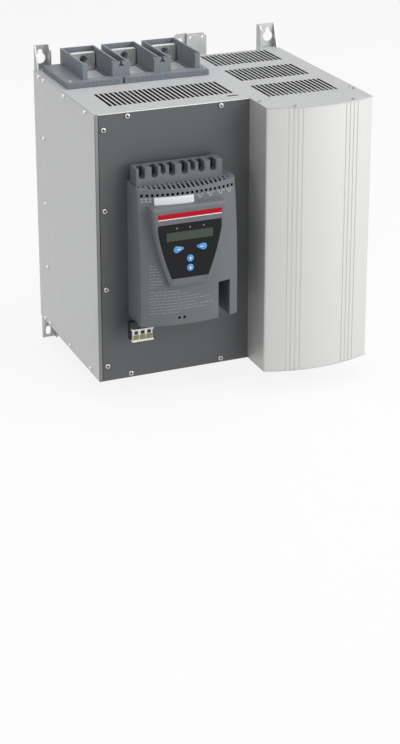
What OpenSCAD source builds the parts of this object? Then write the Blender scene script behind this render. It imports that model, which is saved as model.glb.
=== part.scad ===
// Wall-mounted soft starter for large motors, with built-in bypass.
// The wall is the plane y = 0, the front faces -Y, +X is to the right and +Z is up.
// The origin lies on the wall, in the middle of the case's width and height.

/* [Case] */
// Width over both modules
body_w = 435; // [425:1:460]
// Height of the case between its top and bottom faces
body_h = 435; // [425:1:460]
// Width of the left module, from the left side to the step
left_w = 254; // [252:1:262]
// Depth of the left module, from the wall to the front panel's face
left_d = 300; // [296:1:320]
// How far the cover's edges stand out past the front panel
right_step = 63; // [56:1:80]
// Thickness of the folded case sheets
sheet = 1.5; // [1:0.1:2]
// Thickness of the back plate
back_t = 2; // [1.5:0.1:3]
// Thickness of the front panel
panel_t = 2; // [1.5:0.1:3]
// Gap along the seams between sheets
seam = 0.4; // [0.2:0.1:0.8]
// Height of the flanges folded along the plates' edges
flange_h = 13; // [11:1:18]
// Width of the side panel's flange behind the front panel
side_flange_w = 22; // [20:1:28]
// Depth of the flanges folded forward from the back plate
back_flange_d = 40; // [34:1:50]

/* [Mounting rails] */
// Height of the lugs above and below the case
lug_h = 40; // [38:1:60]
// Depth of the rails, which hold the case off the wall
rail_d = 18; // [16:1:24]
// Thickness of the rails' sheet
rail_t = 2.5; // [2:0.1:3]
// Width of the left rail
left_rail_w = 24; // [23:1:30]
// Width of the right rail
right_rail_w = 33; // [28:1:40]
// Distance of the left keyhole from the left side of the case
left_key_in = 11.5; // [11.5:0.5:13]
// Distance of the right keyhole from the right side of the case
right_key_in = 14; // [13:0.5:16]
// Radius of the keyhole's wide end, which a screw head passes
key_r = 9; // [7:0.5:9]
// Width of the keyhole's narrow end and of the lower slots
key_slot_w = 9; // [7:0.5:9]
// Height of the keyhole's wide end above the case
key_up = 18; // [17:0.5:20]
// Rise from the keyhole's wide end to its narrow end
key_rise = 11; // [10:0.5:12]
// Length between the centres of a lower slot's ends
lower_slot_l = 7; // [4:0.5:9]
// Distance from the case to the middle of a lower slot
lower_slot_down = 28; // [22:0.5:29]

/* [Joining bracket] */
// Height of the bracket above the case
bracket_up = 39; // [30:1:45]
// How far the bracket reaches down behind the back plate
bracket_down = 60; // [40:1:90]
// Width of the bracket's plate
bracket_plate_w = 36; // [30:1:40]
// Width of the bracket's lug
bracket_lug_w = 22; // [18:1:26]
// Step back from the plate to the lug
bracket_step = 4; // [3:0.5:6]
// Radius of the hole in the lug
bracket_hole_r = 5.5; // [4:0.5:7]
// Radius of the two small holes in the plate
bracket_small_r = 2.6; // [2:0.1:3]
// Distance of those holes from the plate's sides and top
bracket_small_in = 7; // [6:0.5:9]
// Distance from the lug's top to its hole
bracket_hole_down = 13; // [10:0.5:16]
// How far the lug reaches down behind the case
bracket_foot = 12; // [8:1:20]
// Distance of the plate from the step between the modules
bracket_off = 10; // [6:1:14]

/* [Cover] */
// How far the cover bows out past its edges
cover_bow = 18; // [10:1:26]
// Wall of the bowed cover
cover_t = 3; // [2.5:0.5:4]
// Thickness of the cover's top and bottom caps
cap_t = 2; // [1.5:0.5:3]
// How far the cover's right side reaches back from its edge
cover_return = 90; // [75:1:100]
// How far the cover's left side tucks in behind the front panel
cover_tuck = 18; // [10:1:24]
// Depth of the caps behind the cover's edges
cap_d = 45; // [40:1:52]
// Radius of the top and bottom plates' front right corner
plate_corner_r = 45; // [35:1:50]
// Number of grooves in each set
groove_n = 4; // [2:1:5]
// Pitch of the grooves
groove_pitch = 7.3; // [6:0.1:9]
// Width of a groove
groove_w = 3; // [2:0.1:4]
// Depth of a groove
groove_deep = 1.2; // [0.8:0.1:1.6]
// Distance of each set's middle from the cover's centre line
groove_off = 48; // [42:1:54]

/* [Grilles] */
// Width of every vent slot
slot_w = 4.8; // [3:0.1:5]
// Distance from the left side to the slots over the left module
main_left = 38; // [30:1:50]
// Distance from those slots to the step
main_right = 11; // [8:1:20]
// Pitch of the slots over the left module
main_pitch = 8; // [7:0.1:8]
// Length of the slots over the left module
main_len = 75; // [60:1:80]
// Distance from the front panel to the middle of those slots
main_back = 75; // [60:1:85]
// Distance from the right module's sides to its slots
field_side = 28; // [24:1:34]
// Pitch of the slots over the right module
field_pitch = 7.7; // [7:0.1:8]
// Plain sheet between the fields over the right module
field_gap = 32; // [30:1:40]
// Distance from the back plate to the middle of the rear field
field_in = 41; // [41:0.5:43]
// Distance from the plates' front edge to the middle of the front field
field_front = 49; // [46:0.5:52]
// Length of the single slot near the step
tag_slot_l = 19; // [14:1:24]
// Distance of that slot from the step
tag_slot_in = 9; // [6:1:12]
// Distance of that slot from the front panel
tag_slot_back = 21; // [16:1:26]

/* [Screws] */
// Radius of a screw's thread
screw_r = 2; // [1.5:0.1:2.2]
// Radius of a screw's head
screw_head_r = 4.2; // [3.5:0.1:5]
// Height of a screw's head
screw_head_h = 2.6; // [2:0.1:3]
// Clearance of a screw in its hole
screw_gap = 0.3; // [0.2:0.1:0.5]
// Distance of the panel's screw column from its left edge
panel_screw_in = 13.5; // [11:0.5:16]
// Distance of the panel's end screws from its top and bottom
panel_screw_end = 25; // [22:1:40]
// Distance of the panel's top and bottom rows from its edges
panel_row_in = 7; // [6.5:0.5:9]
// Distance of the sides' screw rows from the top and bottom
side_row_in = 6.5; // [6.5:0.5:9]
// Radius of the cap screws' heads
cap_head_r = 2.8; // [2.4:0.1:3.2]
// Radius of the round ports in the cover that take the cap screws
port_r = 4; // [3.5:0.1:4.5]
// How far the ports sink into the cover's wall
port_sink = 1; // [0.5:0.1:1.5]
// How far a screw reaches past the sheets that it holds
screw_reach = 3; // [2:0.5:5]
// Distance of the left pair of row screws from the left side
row_left = 52.5; // [48:0.5:58]
// Distance of the right pair of row screws from the step
row_right = 48; // [42:0.5:54]
// Distance of the sides' first screws from the back plate
side_first = 8; // [6:0.5:10]
// Distance of the sides' second screws from the back plate
side_second = 33; // [28:0.5:36]
// Distance of the sides' third screws from the back plate
side_third = 136; // [120:1:150]
// Distance of the sides' last screws from the front panel
side_last = 43; // [36:1:50]
// Distance of the sides' screw column from the back plate
column_in = 27; // [22:0.5:34]
// Pitch of that column
column_step = 112; // [100:1:130]
// Length of the cap screws
cap_grip = 12; // [10:0.5:16]
// Gap between the caps' left screws and the plate
cap_left_gap = 4; // [3:0.5:6]
// From the cover's centre line to the caps' second screws
cap_second = 46; // [40:1:52]
// From the cover's centre line to the caps' third screws
cap_third = 54; // [48:1:60]
// Distance of the caps' right screws from the cover's edge
cap_right_back = 52; // [50:1:60]
// Distance of the shrouds' screws from the base's edges
shroud_screw_in = 6.5; // [5:0.5:9]

/* [Terminals] */
// Distance from the left side to the middle of the first compartment
bay_x = 69; // [68:1:71]
// Distance from the middle of the last compartment to the step
bay_right = 43; // [42:1:46]
// Space between neighbouring compartments
bay_gap = 13; // [11:0.5:16]
// Wall of the shroud's compartments
bay_wall = 3; // [2:0.5:4]
// Height of the compartments' walls above the case
bay_h = 36; // [34:1:38]
// Thickness of the shroud's base
base_h = 10; // [9:0.5:13]
// Width of the notch in the front edge of the shroud's base
base_notch_w = 4; // [3:0.5:6]
// Depth of that notch
base_notch_d = 5; // [3:0.5:7]
// Size of the ledge along the foot of a compartment's walls
ledge = 3; // [2:0.5:4]
// Depth of the shroud's base, from its rear edge
base_d = 125; // [115:1:130]
// Distance from the base's front edge to the compartments' posts
post_back = 12; // [8:1:16]
// Width of the posts at the walls' front ends
post_w = 8; // [6:0.5:9]
// Depth of those posts
post_d = 7; // [5:0.5:9]
// Margin of the base left of the first compartment
base_left = 30; // [26:1:32]
// Margin of the base right of the last compartment
base_right = 11; // [9:1:14]
// How far the posts end below the walls' tops
post_drop = 2; // [1:0.5:4]
// Thickness of the webs between the compartments
web_t = 4; // [3:0.5:5]
// Width of the T-shaped cut in each web
tee_w = 3; // [2:0.5:4]
// Width of that cut's head
tee_head_w = 8; // [6:0.5:9]
// Depth of that cut's stem
tee_down = 5; // [4:0.5:7]
// Height of that cut's head
tee_head_h = 3; // [2:0.5:4]
// Space between a bar and its compartment's left wall
bar_left_gap = 10; // [8:0.5:14]
// Space between a bar and its compartment's right wall
bar_right_gap = 2; // [1.5:0.5:4]
// Clearance of the bars in the case's plates
bar_gap = 2; // [1.5:0.1:3]
// Thickness of a terminal bar
bar_t = 10; // [8:0.5:10]
// Distance of the bars' rear face from the back plate
bar_back = 10; // [8:1:11]
// Height of the bars' ends above the case
bar_up = 29; // [28:1:32]
// Height of the bolt holes above the case
bolt_up = 19; // [18.5:0.5:20]
// Radius of the bolt holes
bolt_r = 6.5; // [5.5:0.5:6.5]

/* [Bypass contactor] */
// Height of the contactor's middle above the case's middle
cont_up = 2.5; // [-5:0.5:10]
// Height of the contactor's cover
cont_h = 156; // [150:1:160]
// Space between the contactor and the divider
cont_clear = 10; // [8:0.5:14]
// Gap between the bars and the contactor's base
cont_gap = 6; // [5:0.5:8]
// Size of the base's feet
cont_foot = 16; // [12:1:18]
// Wall of the contactor's mouldings
cont_wall = 3; // [2:0.5:4]
// Depth of the contactor's base
cont_base_d = 58; // [56:1:60]
// Depth of the contactor's arc cover
cont_cover_d = 61; // [58:1:66]
// Height of the contactor's base
cont_base_h = 100; // [94:1:104]
// Thickness of the copper contacts
contact_t = 8; // [6:0.5:8]
// Width of the copper contacts
contact_w = 28; // [24:1:30]
// Gap between the contacts and the cover's wall
contact_clear = 3; // [2:0.5:4]
// Height of a contact's pad
contact_pad_h = 30; // [26:1:32]
// Height of a contact's clamp on its bar
clamp_h = 26; // [22:1:30]
// How far the pads stand out of the base
contact_pad_out = 12; // [10:0.5:14]
// Thickness of a contact bridge
bridge_t = 4; // [3:0.5:5]
// How far a bridge lies inside the contacts' outline
bridge_in = 1; // [0.5:0.5:2]
// Gap between open contacts
contact_gap = 8; // [6:0.5:9]
// Thickness of the carriage's cross bar
carriage_t = 18; // [14:1:20]
// Height of the carriage's cross bar
carriage_h = 32; // [26:1:36]
// Size of the carriage's posts
carriage_post = 14; // [12:1:16]
// Gap between the carriage and the cover's sides
carriage_gap = 4; // [3:0.5:6]
// Thickness of the armature
armature_t = 16; // [12:1:18]
// Size of the magnet core across
core_w = 108; // [100:1:112]
// Height of the magnet core
core_h = 70; // [66:1:72]
// Depth of the magnet core
core_d = 30; // [26:1:32]
// Thickness of the core's yoke
core_yoke = 10; // [8:1:12]
// How far the coil stands out above and below the core
coil_over = 6; // [4:0.5:7]
// Clearance of the coil around the core's legs
coil_gap = 0.5; // [0.3:0.1:0.8]

/* [Thyristor stacks] */
// Space beside the heat sinks, which takes the link bars
sink_side = 32.5; // [30:0.5:40]
// Air gap between a stack and the next heat sink
stack_gap = 6; // [4:0.5:12]
// Space between the heat sinks and the top plate
sink_up = 47; // [36:1:60]
// Thickness of the heat sink's base
sink_base = 14; // [10:1:16]
// Thickness of a fin
fin_t = 2.6; // [2:0.1:3]
// Number of fins
fin_n = 14; // [10:1:15]
// Distance of a thyristor module from its heat sink's sides
module_side = 15; // [10:1:18]
// Height of a thyristor module
module_h = 100; // [90:1:110]
// Thickness of a thyristor module
module_t = 26; // [22:1:27]
// How far a module's rib and poles stand out
module_rise = 3; // [2:0.5:4]
// Width of the rib between a module's poles
module_rib = 4; // [3:0.5:6]
// Distance of the poles from a module's middle
module_pole = 30; // [26:1:34]
// Radius of the poles
pole_r = 9; // [7:0.5:10]
// Thickness of the link bars
link_s = 12; // [8:0.5:12]
// Distance of the link bars' runs from the terminal bars
link_out = 12; // [10:0.5:14]
// Distance from the contacts' clamps to the first link
link_first = 14; // [12:0.5:18]
// Distance from the case's top and bottom to the last link
link_last = 49; // [44:1:54]
// Clearance of the links in the divider's windows
window_gap = 6; // [4:0.5:8]
// Wall of the current transformers beside the bars
ring_w = 9; // [7:0.5:10]
// Wall of the current transformers in front of the bars
ring_d = 17; // [12:0.5:20]
// Height of the current transformers
ring_h = 30; // [24:1:34]
// Clearance of the bars in the current transformers
ring_gap = 1; // [0.6:0.1:1.5]

/* [Fans] */
// Gap between the rear fan and the back plate
fan_back = 1; // [0.5:0.1:3]
// Depth of a fan's frame
fan_d = 25; // [24:0.5:28]
// Wall of a fan's frame at its thinnest
fan_rim = 2.5; // [2:0.1:4]
// Radius of the rotor's hub
hub_r = 16; // [14:0.5:18]
// Number of blades
blade_n = 7; // [5:1:9]
// Thickness of a blade
blade_t = 2; // [1.4:0.1:2.4]
// Angle of the blades
blade_pitch = 38; // [30:1:45]
// Width of the struts that carry the bearing
strut_w = 5; // [4:0.5:7]
// Thickness of the bearing and its struts
hub_base = 4; // [3:0.5:5]
// Gap between the rotor and its frame
fan_gap = 1; // [0.8:0.1:2]
// Radius of the rotor's shaft
shaft_r = 2.5; // [2:0.1:3]
// Running clearance of the shaft in its bearing
shaft_gap = 0.05; // [0.03:0.01:0.08]

/* [Control unit] */
// Distance from the left side of the case to the unit
unit_x = 50; // [46:1:54]
// Height of the unit's bottom above the case's bottom
unit_z = 105; // [98:1:112]
// Width of the unit
unit_w = 161; // [156:1:168]
// Height of the unit's body
unit_h = 222; // [216:1:230]
// How far the unit's side edges stand out at mid height
unit_d = 54; // [52:1:58]
// How far the unit's front bows out in the middle
unit_bow = 13; // [9:0.5:14]
// How far the unit's front leans back towards its top
unit_lean = 11; // [6:0.5:12]
// Height above the unit's bottom at which that lean starts
lean_up = 75; // [65:0.5:90]
// Fall of the sloped shelf from the ridge to the middle of its front edge
shelf_h = 6; // [4:0.5:8]
// Wall of the unit's mouldings
unit_wall = 2.5; // [2:0.1:3]
// Height of the terminal ridge
ridge_h = 27; // [24:0.5:32]
// Depth of the terminal ridge
ridge_d = 26; // [22:0.5:28]
// Distance from the unit's left side to the ridge
ridge_in = 2; // [1:0.5:5]
// Distance from the ridge to the unit's right side
ridge_right = 18; // [14:0.5:22]
// Thickness of the ridge behind its notches
ridge_wall = 6.5; // [5:0.5:8]
// How far the ridge's back stands off the front panel
ridge_off = 10; // [8:0.5:12]
// Width of the wide notches in the ridge
notch_w = 10; // [8:0.5:11]
// Width of the narrow notches in the ridge
notch_small_w = 7.5; // [6:0.5:8]
// Depth of the wide notches from the ridge's top
notch_h = 17; // [14:0.5:19]
// Depth of the narrow notches from the ridge's top
notch_small_h = 13; // [11:0.5:15]
// Thickness of the dark blocks in the notches
wire_block_t = 4; // [3:0.5:6]
// How far those blocks lie below the ridge's top
wire_block_down = 2; // [1:0.5:4]
// Radius of the round vents along the unit's front
vent_r = 1.9; // [1.4:0.1:2.2]
// Number of those vents, and of the square holes above them
vent_n = 20; // [16:1:20]
// Distance of the outer vents from the unit's sides
vent_side = 6.5; // [5:0.5:9]
// Distance of the vents below the lowest part of the shelf's edge
vent_down = 6.5; // [5:0.5:9]
// Size of the small square holes along the foot of the ridge
shelf_dot = 2.4; // [1.6:0.1:2.8]
// Pitch of those holes
dot_pitch = 7.7; // [7:0.1:7.8]
// Distance from the ridge's left end to the first of them
dot_in = 2; // [1.5:0.5:4]
// Distance from the ridge to those holes
dot_front = 1.5; // [1:0.1:2]
// Width of the slots from those holes to the shelf's front edge
shelf_slot_w = 2.8; // [2:0.1:3.2]
// Distance between a hole and its slot
shelf_slot_gap = 2; // [1.5:0.1:2.5]
// Distance of the slots from the shelf's front edge
shelf_slot_in = 1.8; // [1.5:0.1:2.5]
// Shortest slot in the shelf
shelf_slot_min = 3.5; // [3:0.1:5]
// Radius of the two small holes near the unit's bottom
pin_r = 1.8; // [1.4:0.1:2.2]
// Distance between those two holes
pin_pitch = 8; // [6:0.5:9]
// Distance of those holes left of the unit's middle
pin_off = 17.5; // [12:0.5:22]
// Height of those holes above the unit's bottom
pin_up = 12; // [9:0.5:18]
// Width of the recess at the unit's lower right
recess_w = 21; // [16:0.5:24]
// Height of that recess
recess_h = 60; // [50:1:64]
// Distance of the recess's back from the front panel
recess_back = 14; // [8:0.5:20]
// Width of the leg right of the recess
leg_w = 14.5; // [12:0.5:18]
// Distance from the unit's sides to the opening in the front panel
mouth_in = 30; // [26:1:36]
// Distance from the unit's top and bottom to that opening
mouth_up = 40; // [34:1:46]
// Distance of the control board from the front panel
board_off = 18.4; // [16:0.1:22]
// Thickness of the control board
board_t = 1.6; // [1.2:0.1:2]
// Clearance of the control board inside the unit
board_in = 8; // [6:0.5:12]
// Radius of the board's posts
board_post_r = 3; // [2.5:0.1:4]

/* [Keypad] */
// Distance from the unit's top to the bezel's top
bezel_down = 28; // [24:1:32]
// Height of the bezel
bezel_h = 129; // [126:1:131]
// Distance of the bezel's middle left of the unit's middle
bezel_left = 6; // [0:0.5:8]
// Half the bezel's width at its top
bezel_top = 61; // [59:0.5:63]
// Half the bezel's width at its bottom
bezel_bottom = 31.5; // [30:0.5:34]
// How far the bezel's sides bulge
bezel_bulge = 5.5; // [4:0.5:7]
// How far the bezel stands out past the unit's bow
bezel_out = 5; // [4:0.5:7]
// Height of the band above the black panel
bezel_band = 27; // [25:0.5:29]
// Frame below the black panel
bezel_chin = 14; // [12:0.5:16]
// Frame beside the black panel
bezel_side = 9; // [7:0.5:11]
// Frame beside the black panel's bottom corners
bezel_side_low = 8; // [6:0.5:10]
// Thickness of the black panel
pad_t = 2; // [1.5:0.1:2.5]
// Depth of the space behind the black panel
pad_deep = 4; // [3.5:0.1:5]
// Width of the ledge that the black panel rests on
pad_ledge = 2.5; // [2:0.1:3]
// Gap around the black panel and around the display
pad_gap = 0.2; // [0.1:0.05:0.3]
// Width of the display
lcd_w = 76; // [70:1:78]
// Height of the display
lcd_h = 14; // [12:0.5:16]
// Distance from the black panel's top to the display
lcd_down = 13; // [12:0.5:15]
// How far the display lies below the panel's face
lcd_sink = 0.3; // [0.1:0.1:0.8]
// Radius of a round key
key_round_r = 5.6; // [4.5:0.1:6]
// Height of the lower round key above the black panel's bottom
key_low = 15.5; // [13:0.5:17]
// Pitch of the round keys
key_step = 15; // [13.5:0.5:16]
// Distance of the soft keys from the middle
key_side = 22; // [20:0.5:23]
// Rise of the soft keys above the upper round key
key_rise_side = 16.5; // [15.5:0.5:18]
// Radius of a soft key's round end
soft_r = 5.4; // [4.8:0.1:5.6]
// Radius of a soft key's narrow end
soft_tip_r = 2; // [1.6:0.1:2.4]
// Length between a soft key's ends
soft_l = 9.5; // [8:0.5:10]
// Slope of the soft keys
soft_turn = 8; // [0:1:15]
// How far the keys stand out of the panel
key_out = 1.6; // [1.2:0.1:2]
// How far a key's rim reaches past its outline
key_rim = 1.2; // [0.8:0.1:1.5]
// Thickness of that rim
key_rim_t = 1; // [0.8:0.1:1.2]
// How far a key reaches back past its rim
key_stem = 0.3; // [0.1:0.1:0.5]
// Clearance around a key
key_gap = 0.35; // [0.3:0.05:0.5]

/* [Terminal plug] */
// Width of the pull-off plug
plug_w = 32; // [30:1:36]
// Height of the plug
plug_h = 29; // [27:0.5:32]
// Depth of the plug
plug_d = 18; // [15:0.5:20]
// How far the plug's back stands off the front panel
plug_off = 20.5; // [18:0.5:24]
// Number of the plug's poles
plug_n = 3; // [2:1:4]
// How far the plug stands out left of the unit
plug_left = 7.5; // [5:0.5:9]
// How far the plug's flange and its lower lip stand out
plug_rim = 1.5; // [1:0.1:2]
// Thickness of the flange and of the lip
plug_rim_t = 2.5; // [2:0.5:3]
// Distance of the flange from the unit
plug_rim_down = 8.5; // [6:0.5:10]
// Wall between the wire openings
pole_wall = 4; // [3:0.5:5]
// Height of the wire openings
pole_h = 6.5; // [6:0.5:8]
// Depth of the wire openings
pole_d = 10.8; // [9:0.1:13]

/* [Hidden] */
$fn = 48;
eps = 0.01;

// Case edges
x_left = -body_w / 2;
x_right = body_w / 2;
x_step = x_left + left_w;
z_bot = -body_h / 2;
z_top = body_h / 2;
panel_back = -(left_d - panel_t);
case_back = -(rail_d + back_t);
right_w = body_w - left_w;
right_d = left_d + right_step;
x_cover = x_step + right_w / 2;
plate_front = right_d - cap_d;
right_panel_front = right_d - cover_return;

// The cover's bow is an arc through its two edges
bow_r = (pow(right_w / 2, 2) + pow(cover_bow, 2)) / (2 * cover_bow);
bow_y = bow_r - right_d - cover_bow;

// Terminals
bays = [0, 1, 2];
base_y = case_back;
post_front = base_y - base_d + post_back;
bar_front = case_back - bar_back - bar_t;
bar_rear = case_back - bar_back;
bay_pitch = (left_w - bay_x - bay_right) / 2;
bay_w = bay_pitch - bay_gap;
bar_w = bay_w - 2 * bay_wall - bar_left_gap - bar_right_gap;
bar_off = (bar_left_gap - bar_right_gap) / 2;
function bay_mid(k) = x_left + bay_x + k * bay_pitch;
function bar_mid(k) = bay_mid(k) + bar_off;

// Contactor: the contacts clamp on the bars' front faces
cont_mid = (z_bot + z_top) / 2 + cont_up;
cont_x = bar_mid(1);
cont_w = 2 * (x_step - seam - sheet - cont_clear - cont_x);
base_rear = bar_front - cont_gap;
base_front = base_rear - cont_base_d;
contact_out = cont_h / 2 - cont_wall - contact_clear;
pad_front = base_front - contact_pad_out;
bridge_front = pad_front - contact_gap - bridge_t;
core_front = base_rear - cont_wall - core_d;
leg = core_w / 6;

// Stacks
main_n = floor((left_w - main_left - main_right - slot_w) / main_pitch + eps) + 1;
field_n = floor((right_w - 2 * field_side - slot_w) / field_pitch + eps) + 1;
field_step = (plate_front + case_back - field_in - field_front) / 2;
field_len = field_step - field_gap;
sink_w = right_w - 2 * sink_side;
sink_d = field_step - module_t - stack_gap;
sink_h = body_h - 2 * sheet - fan_d - sink_up;
module_w = sink_w - 2 * module_side;
sink_left = x_cover - sink_w / 2;
sink_z = z_bot + sheet + fan_d;
module_left = x_cover - module_w / 2;
module_z = cont_mid;
duct_x = (x_step + sink_left) / 2;
function field_mid(k) = case_back - field_in - k * field_step;
function sink_front(k) = field_mid(k) - sink_d / 2;
first_z = contact_out + clamp_h + link_first;
function link_z(k, s) = cont_mid + s * first_z + k * (s * (body_h / 2 - link_last - first_z) - cont_mid) / 2;

// Fans
fan_size = 2 * (field_in - fan_back);
duct_r = fan_size / 2 - fan_rim;
blade_r = duct_r - fan_gap;
rotor_z = hub_base + fan_gap;
rotor_h = fan_d - rotor_z - fan_gap;

// Control unit: its front is turned about an upright axis
unit_left = x_left + unit_x;
unit_mid = unit_left + unit_w / 2;
unit_bot = z_bot + unit_z;
unit_top = unit_bot + unit_h;
unit_r = (pow(unit_w / 2, 2) + pow(unit_bow, 2)) / (2 * unit_bow);
unit_axis_y = unit_r - left_d - unit_d - unit_bow;
lean_from = unit_bot + lean_up;
shelf_z = unit_top - shelf_h;
function lean(z) = unit_lean * pow(max(0, z - lean_from) / (shelf_z - lean_from), 2);
ridge_left = unit_left + ridge_in;
ridge_l = unit_w - ridge_in - ridge_right;
ridge_front = -(left_d + ridge_off + ridge_d);
front_r = unit_r - unit_lean;
function front_y(off) = unit_axis_y - sqrt(pow(front_r, 2) - pow(off, 2));
shelf_slope = shelf_h / (ridge_front - front_y(0));
function shelf_at(y) = unit_top - shelf_slope * (ridge_front - y);
notch_at = [0.066, 0.212, 0.31, 0.412, 0.558, 0.652, 0.753, 0.892];
notch_is_small = [0, 0, 1, 0, 0, 1, 0, 0];
function notch_wide(i) = notch_is_small[i] ? notch_small_w : notch_w;
function notch_deep(i) = notch_is_small[i] ? notch_small_h : notch_h;
function notch_mid(i) = ridge_left + notch_at[i] * ridge_l;
ridge_top = unit_top + ridge_h;

// Keypad
bezel_front = -(left_d + unit_d + unit_bow + bezel_out);
bezel_bot = unit_top - bezel_down - bezel_h;
pad_top = bezel_bot + bezel_h - bezel_band;
pad_bot = bezel_bot + bezel_chin;
pad_back = bezel_front + pad_t;
key_len = pad_t + key_rim_t + key_stem;
key_down_z = pad_bot + key_low;
key_up_z = key_down_z + key_step;
soft_z = key_up_z + key_rise_side;
lcd_top = pad_top - lcd_down;
bezel_mid = unit_mid - bezel_left;
function shield_half(t, top, bottom) = top + (bottom - top) * t + 4 * bezel_bulge * t * (1 - t);

panel_grey = [0.26, 0.27, 0.28];
zinc = [0.78, 0.79, 0.8];
silver = [0.86, 0.87, 0.87];
shroud_grey = [0.42, 0.45, 0.49];
unit_grey = [0.43, 0.44, 0.46];
tin = [0.85, 0.85, 0.83];
copper = [0.8, 0.5, 0.34];
black = [0.08, 0.08, 0.09];
blue = [0.1, 0.42, 0.8];
ivory = [0.92, 0.92, 0.88];
alu = [0.75, 0.76, 0.78];
steel = [0.6, 0.61, 0.63];
green = [0.05, 0.3, 0.12];
glass = [0.45, 0.5, 0.42];

// A box between two opposite corners
module block(a, b) {
    translate([min(a.x, b.x), min(a.y, b.y), min(a.z, b.z)])
        cube([abs(b.x - a.x), abs(b.y - a.y), abs(b.z - a.z)]);
}

// An outline in Y and Z, carried along +X
module along_x(length) {
    rotate([90, 0, 90]) linear_extrude(length) children();
}

// Turns that point a screw's head out of each face
to_front = [90, 0, 0];
to_left = [0, -90, 0];
to_right = [0, 90, 0];
to_top = [0, 0, 0];
to_bottom = [180, 0, 0];

module screw(at, turn, grip, head_r) {
    translate(at) rotate(turn) {
        cylinder(r = head_r, h = screw_head_h * 0.55);
        translate([0, 0, screw_head_h * 0.55])
            cylinder(r1 = head_r, r2 = head_r * 0.72, h = screw_head_h * 0.45);
        translate([0, 0, -grip]) cylinder(r = screw_r, h = grip + eps);
    }
}

module screw_hole(at, turn, grip) {
    translate(at) rotate(turn) translate([0, 0, -grip]) cylinder(r = screw_r + screw_gap, h = 2 * grip);
}

// Screw places
panel_column = [for (k = [0 : 3]) [x_left + panel_screw_in, -left_d,
    z_bot + panel_screw_end + k * (body_h - 2 * panel_screw_end) / 3]];
panel_rows = [for (x = [x_left + row_left, x_step - row_right],
    z = [z_bot + panel_row_in, z_top - panel_row_in]) [x, -left_d, z]];
panel_places = concat(panel_column, panel_rows);
panel_grip = panel_t + sheet + screw_reach;
side_rows = [for (y = [case_back - side_first, case_back - side_second, case_back - side_third,
    -left_d + side_last], z = [z_bot + side_row_in, z_top - side_row_in]) [y, z]];
side_column = [for (k = [-1 : 1]) [case_back - column_in, k * column_step]];
side_places = concat(side_rows, side_column);
side_grip = 2 * sheet + screw_reach;
port_in = cover_t + port_r - port_sink;
cap_places = [[x_step + port_in, -(plate_front + port_r + cap_left_gap)],
    [x_cover - cap_second, bow_inner(cap_second)], [x_cover + cap_third, bow_inner(cap_third)],
    [x_right - port_in, -(right_d - cap_right_back)]];
shroud_left = bay_mid(0) - bay_w / 2 - base_left;
shroud_right = bay_mid(2) + bay_w / 2 + base_right;
shroud_places = [for (x = [shroud_left + shroud_screw_in, shroud_right - shroud_screw_in])
    [x, base_y - base_d + shroud_screw_in]];
shroud_grip = base_h + sheet + screw_reach;
function bow_inner(off) = bow_y - sqrt(pow(bow_r - port_in, 2) - pow(off, 2));

// Mounting rails: channels with keyhole lugs at the top and slotted lugs at the bottom
module keyhole(x) {
    zc = z_top + key_up;
    for (p = [[0, key_r], [key_rise, key_slot_w / 2]])
        translate([x, eps, zc + p[0]]) rotate([90, 0, 0]) cylinder(r = p[1], h = rail_t + 2 * eps);
    block([x - key_slot_w / 2, -rail_t - eps, zc], [x + key_slot_w / 2, eps, zc + key_rise]);
}

module lower_slot(x) {
    zc = z_bot - lower_slot_down;
    for (s = [-1, 1])
        translate([x, eps, zc + s * lower_slot_l / 2]) rotate([90, 0, 0])
            cylinder(r = key_slot_w / 2, h = rail_t + 2 * eps);
    block([x - key_slot_w / 2, -rail_t - eps, zc - lower_slot_l / 2],
        [x + key_slot_w / 2, eps, zc + lower_slot_l / 2]);
}

module gusset_flange() {
    along_x(rail_t) polygon([[0, z_top + lug_h], [-rail_t - 1, z_top + lug_h], [-rail_d, z_top],
        [-rail_d, z_bot], [-rail_t - 1, z_bot - lug_h], [0, z_bot - lug_h]]);
}

module inner_flange() {
    chamfer = 7;
    along_x(rail_t) polygon([[0, z_top + lug_h], [chamfer - rail_d, z_top + lug_h],
        [-rail_d, z_top + lug_h - chamfer], [-rail_d, chamfer + z_bot - lug_h],
        [chamfer - rail_d, z_bot - lug_h], [0, z_bot - lug_h]]);
}

// A rail with its outer flange at x = 0 and its inside towards +X
module rail(w, key_in) {
    difference() {
        union() {
            block([0, -rail_t, z_bot - lug_h], [w, 0, z_top + lug_h]);
            gusset_flange();
            translate([w - rail_t, 0, 0]) inner_flange();
        }
        keyhole(key_in);
        lower_slot(key_in);
    }
}

module mount_rail_left() {
    color(zinc) translate([x_left + sheet, 0, 0]) rail(left_rail_w, left_key_in - sheet);
}

module mount_rail_right() {
    color(zinc) translate([x_right - sheet, 0, 0]) mirror([1, 0, 0]) rail(right_rail_w, right_key_in - sheet);
}

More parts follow.
